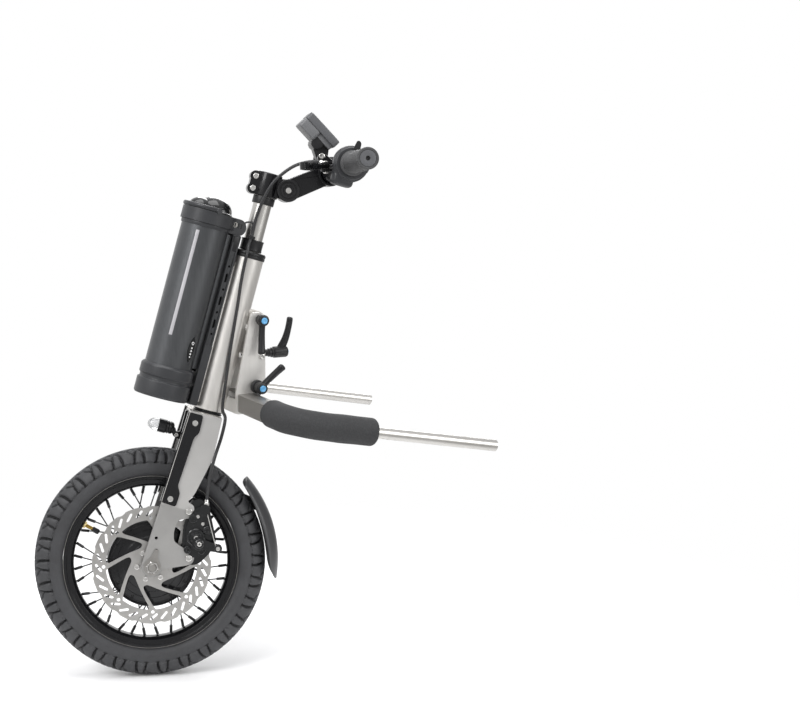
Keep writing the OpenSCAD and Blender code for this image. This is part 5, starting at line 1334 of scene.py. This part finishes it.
t = np.linspace(-1, 1, 15)
leaf_edge = 6.2 * (1 - t ** 2)
gauge_line = join(np.c_[leaf_edge, 332 + 20 * t], np.c_[-leaf_edge, 332 + 20 * t][::-1][1:-1])
piece("gauge_window", [prism(wrapped, gauge_line, -0.1, 0.9)], "battery", "dark_plastic",
    ["charge_gauge"], paint="gloss_black")
piece("gauge_dots", [prism(wrapped, circle((0, 330 + z), r, 14), 0.7, 1.2) for z, r in ((-9, 1.2), (-4.4, 1.5),
    (0.2, 1.5), (4.8, 1.5))] + [prism(wrapped, circle((0, 342), 2.5, 18), 0.7, 1.2, [circle((0, 342), 1.5, 14)])],
    "battery", "white_print")
# Painted shade: thin gloss-black slot shapes on the collar's side stand for the shade inside two lock tab slots.
piece("tab_slots", [beside(column, slot_hole((30 + 5 * k, 531.5), 8, 1.8, 90), 13.3, 13.7) for k in range(2)],
    "battery", "dark_plastic", paint="gloss_black")
piece("latch_block", [cushion_box(column.at(33.5, 0, 0), 13, 34, 492, 515.4, 3, 1.2),
    cushion_box(column.at(29, 12, 0), 7, 9, 470, 482, 2, 1)], "column", "dark_plastic",
    paint="black_plastic", sharp=50)


# Camera, light and floor.

def look(obj, place, direction):
    obj.location = place
    obj.rotation_euler = Vector(direction).to_track_quat("-Z", "Y").to_euler()


def studio():
    """Camera at the photograph's place, soft area lights, a white backdrop and a floor that fades out."""
    scene = bpy.context.scene
    camera = placed("camera", bpy.data.cameras.new("camera"))
    camera.data.lens, camera.data.sensor_width, camera.data.clip_end = 85, 36, 50
    look(camera, (1.44095, 2.667, 0.6067), (-0.4553, -0.8747, -0.1663))
    scene.camera = camera
    centre = Vector((0.4, 0, 0.05))
    for name, place, size, power in (("key", (3.2, 1.2, 2.4), 1.6, 66), ("fill", (-1.6, 2.6, 1.2), 1.8, 40),
                                     ("top", (0.4, 0.2, 3.2), 2.4, 60), ("rim", (-1.2, -2.4, 1.6), 1.5, 30)):
        light = placed(name, bpy.data.lights.new(name, "AREA"))
        light.data.size, light.data.energy = size, power
        look(light, place, centre - Vector(place))
    world = bpy.data.worlds.new("studio")
    world.use_nodes = True
    scene.world = world
    tree = world.node_tree
    tree.nodes.clear()
    ray = Sock(tree, tree.nodes.new("ShaderNodeLightPath").outputs["Is Camera Ray"])
    mirrored_ray = Sock(tree, ray.socket.node.outputs["Is Glossy Ray"])
    sky = ray.node("TexCoord", out=0)
    height = sky.node("SeparateXYZ", {0: sky}, out=2)
    right = sky.node("VectorMath", {0: sky, 1: (-0.887, 0.462, 0)}, out=1, operation="DOT_PRODUCT")
    tone = height.ramp((0.0, (0.8, 0.8, 0.8)), (0.46, (0.62, 0.62, 0.62)), (0.56, (0.34, 0.34, 0.35)),
                       (0.85, (0.9, 0.9, 0.92)))
    front = sky.node("VectorMath", {0: sky, 1: (0.462, 0.887, 0)}, out=1, operation="DOT_PRODUCT")
    turn = right.node("Math", {0: right, 1: front}, operation="ARCTAN2") * 0.15915 + 0.5
    across = turn.ramp((0.0, (1, 1, 1)), (0.2, (1, 1, 1)), (0.36, (0.95, 0.95, 0.95)), (0.5, (0.56, 0.56, 0.56)),
                       (0.58, (0.6, 0.6, 0.6)), (0.66, (0.8, 0.8, 0.79)), (0.74, (0.3, 0.3, 0.3)),
                       (0.78, (0.05, 0.05, 0.05)), (0.9, (0.05, 0.05, 0.05)), (0.96, (1, 1, 1)))
    high = height.above(0.62, 0.3).mix(across, (0.95, 0.95, 0.96))
    mirror = (-0.22 - height).above(0.0, 0.25).mix(high, (0.5, 0.495, 0.485))
    soft = ray.node("Background", {"Color": tone, "Strength": 0.95})
    contrast = ray.node("Background", {"Color": mirror, "Strength": 1.0})
    white = ray.node("Background", {"Color": (1, 1, 1, 1), "Strength": 1.0})
    lit = ray.node("MixShader", {0: mirrored_ray, 1: soft, 2: contrast})
    through = Sock(tree, ray.socket.node.outputs["Is Transmission Ray"])
    both = ray.node("MixShader", {0: ray.math("MAXIMUM", through), 1: lit, 2: white})
    out = tree.nodes.new("ShaderNodeOutputWorld")
    tree.links.new(both.socket, out.inputs["Surface"])
    scene.view_settings.view_transform = "Standard"
    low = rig.bounds()[0][2]
    ground = bpy.data.meshes.new("floor")
    ground.from_pydata([(-3, -3, 0), (4, -3, 0), (4, 3, 0), (-3, 3, 0)], [], [(0, 1, 2, 3)])
    floor = placed("floor", ground)
    floor.location.z = low - 0.0005
    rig.stage(floor)
    paint = bpy.data.materials.new("floor")
    paint.use_nodes = True
    tree = paint.node_tree
    place = Sock(tree, tree.nodes.new("ShaderNodeTexCoord").outputs["Object"])
    apart = place.node("VectorMath", {0: place, 1: (0.42, 0.0, 0)}, out=1, operation="DISTANCE")
    matt = place.node("BsdfDiffuse", {"Color": (0.95, 0.95, 0.95, 1)})
    clear = place.node("BsdfTransparent")
    fade = place.node("MixShader", {0: apart.above(0.75, 0.7), 1: matt, 2: clear})
    tree.links.new(fade.socket, tree.nodes["Material Output"].inputs["Surface"])
    ground.materials.append(paint)


studio()

json.dump({"cad": [list(map(float, c)) for c in cad_box], "visual": [list(map(float, c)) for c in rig.bounds()]},
          open("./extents.json", "w"))
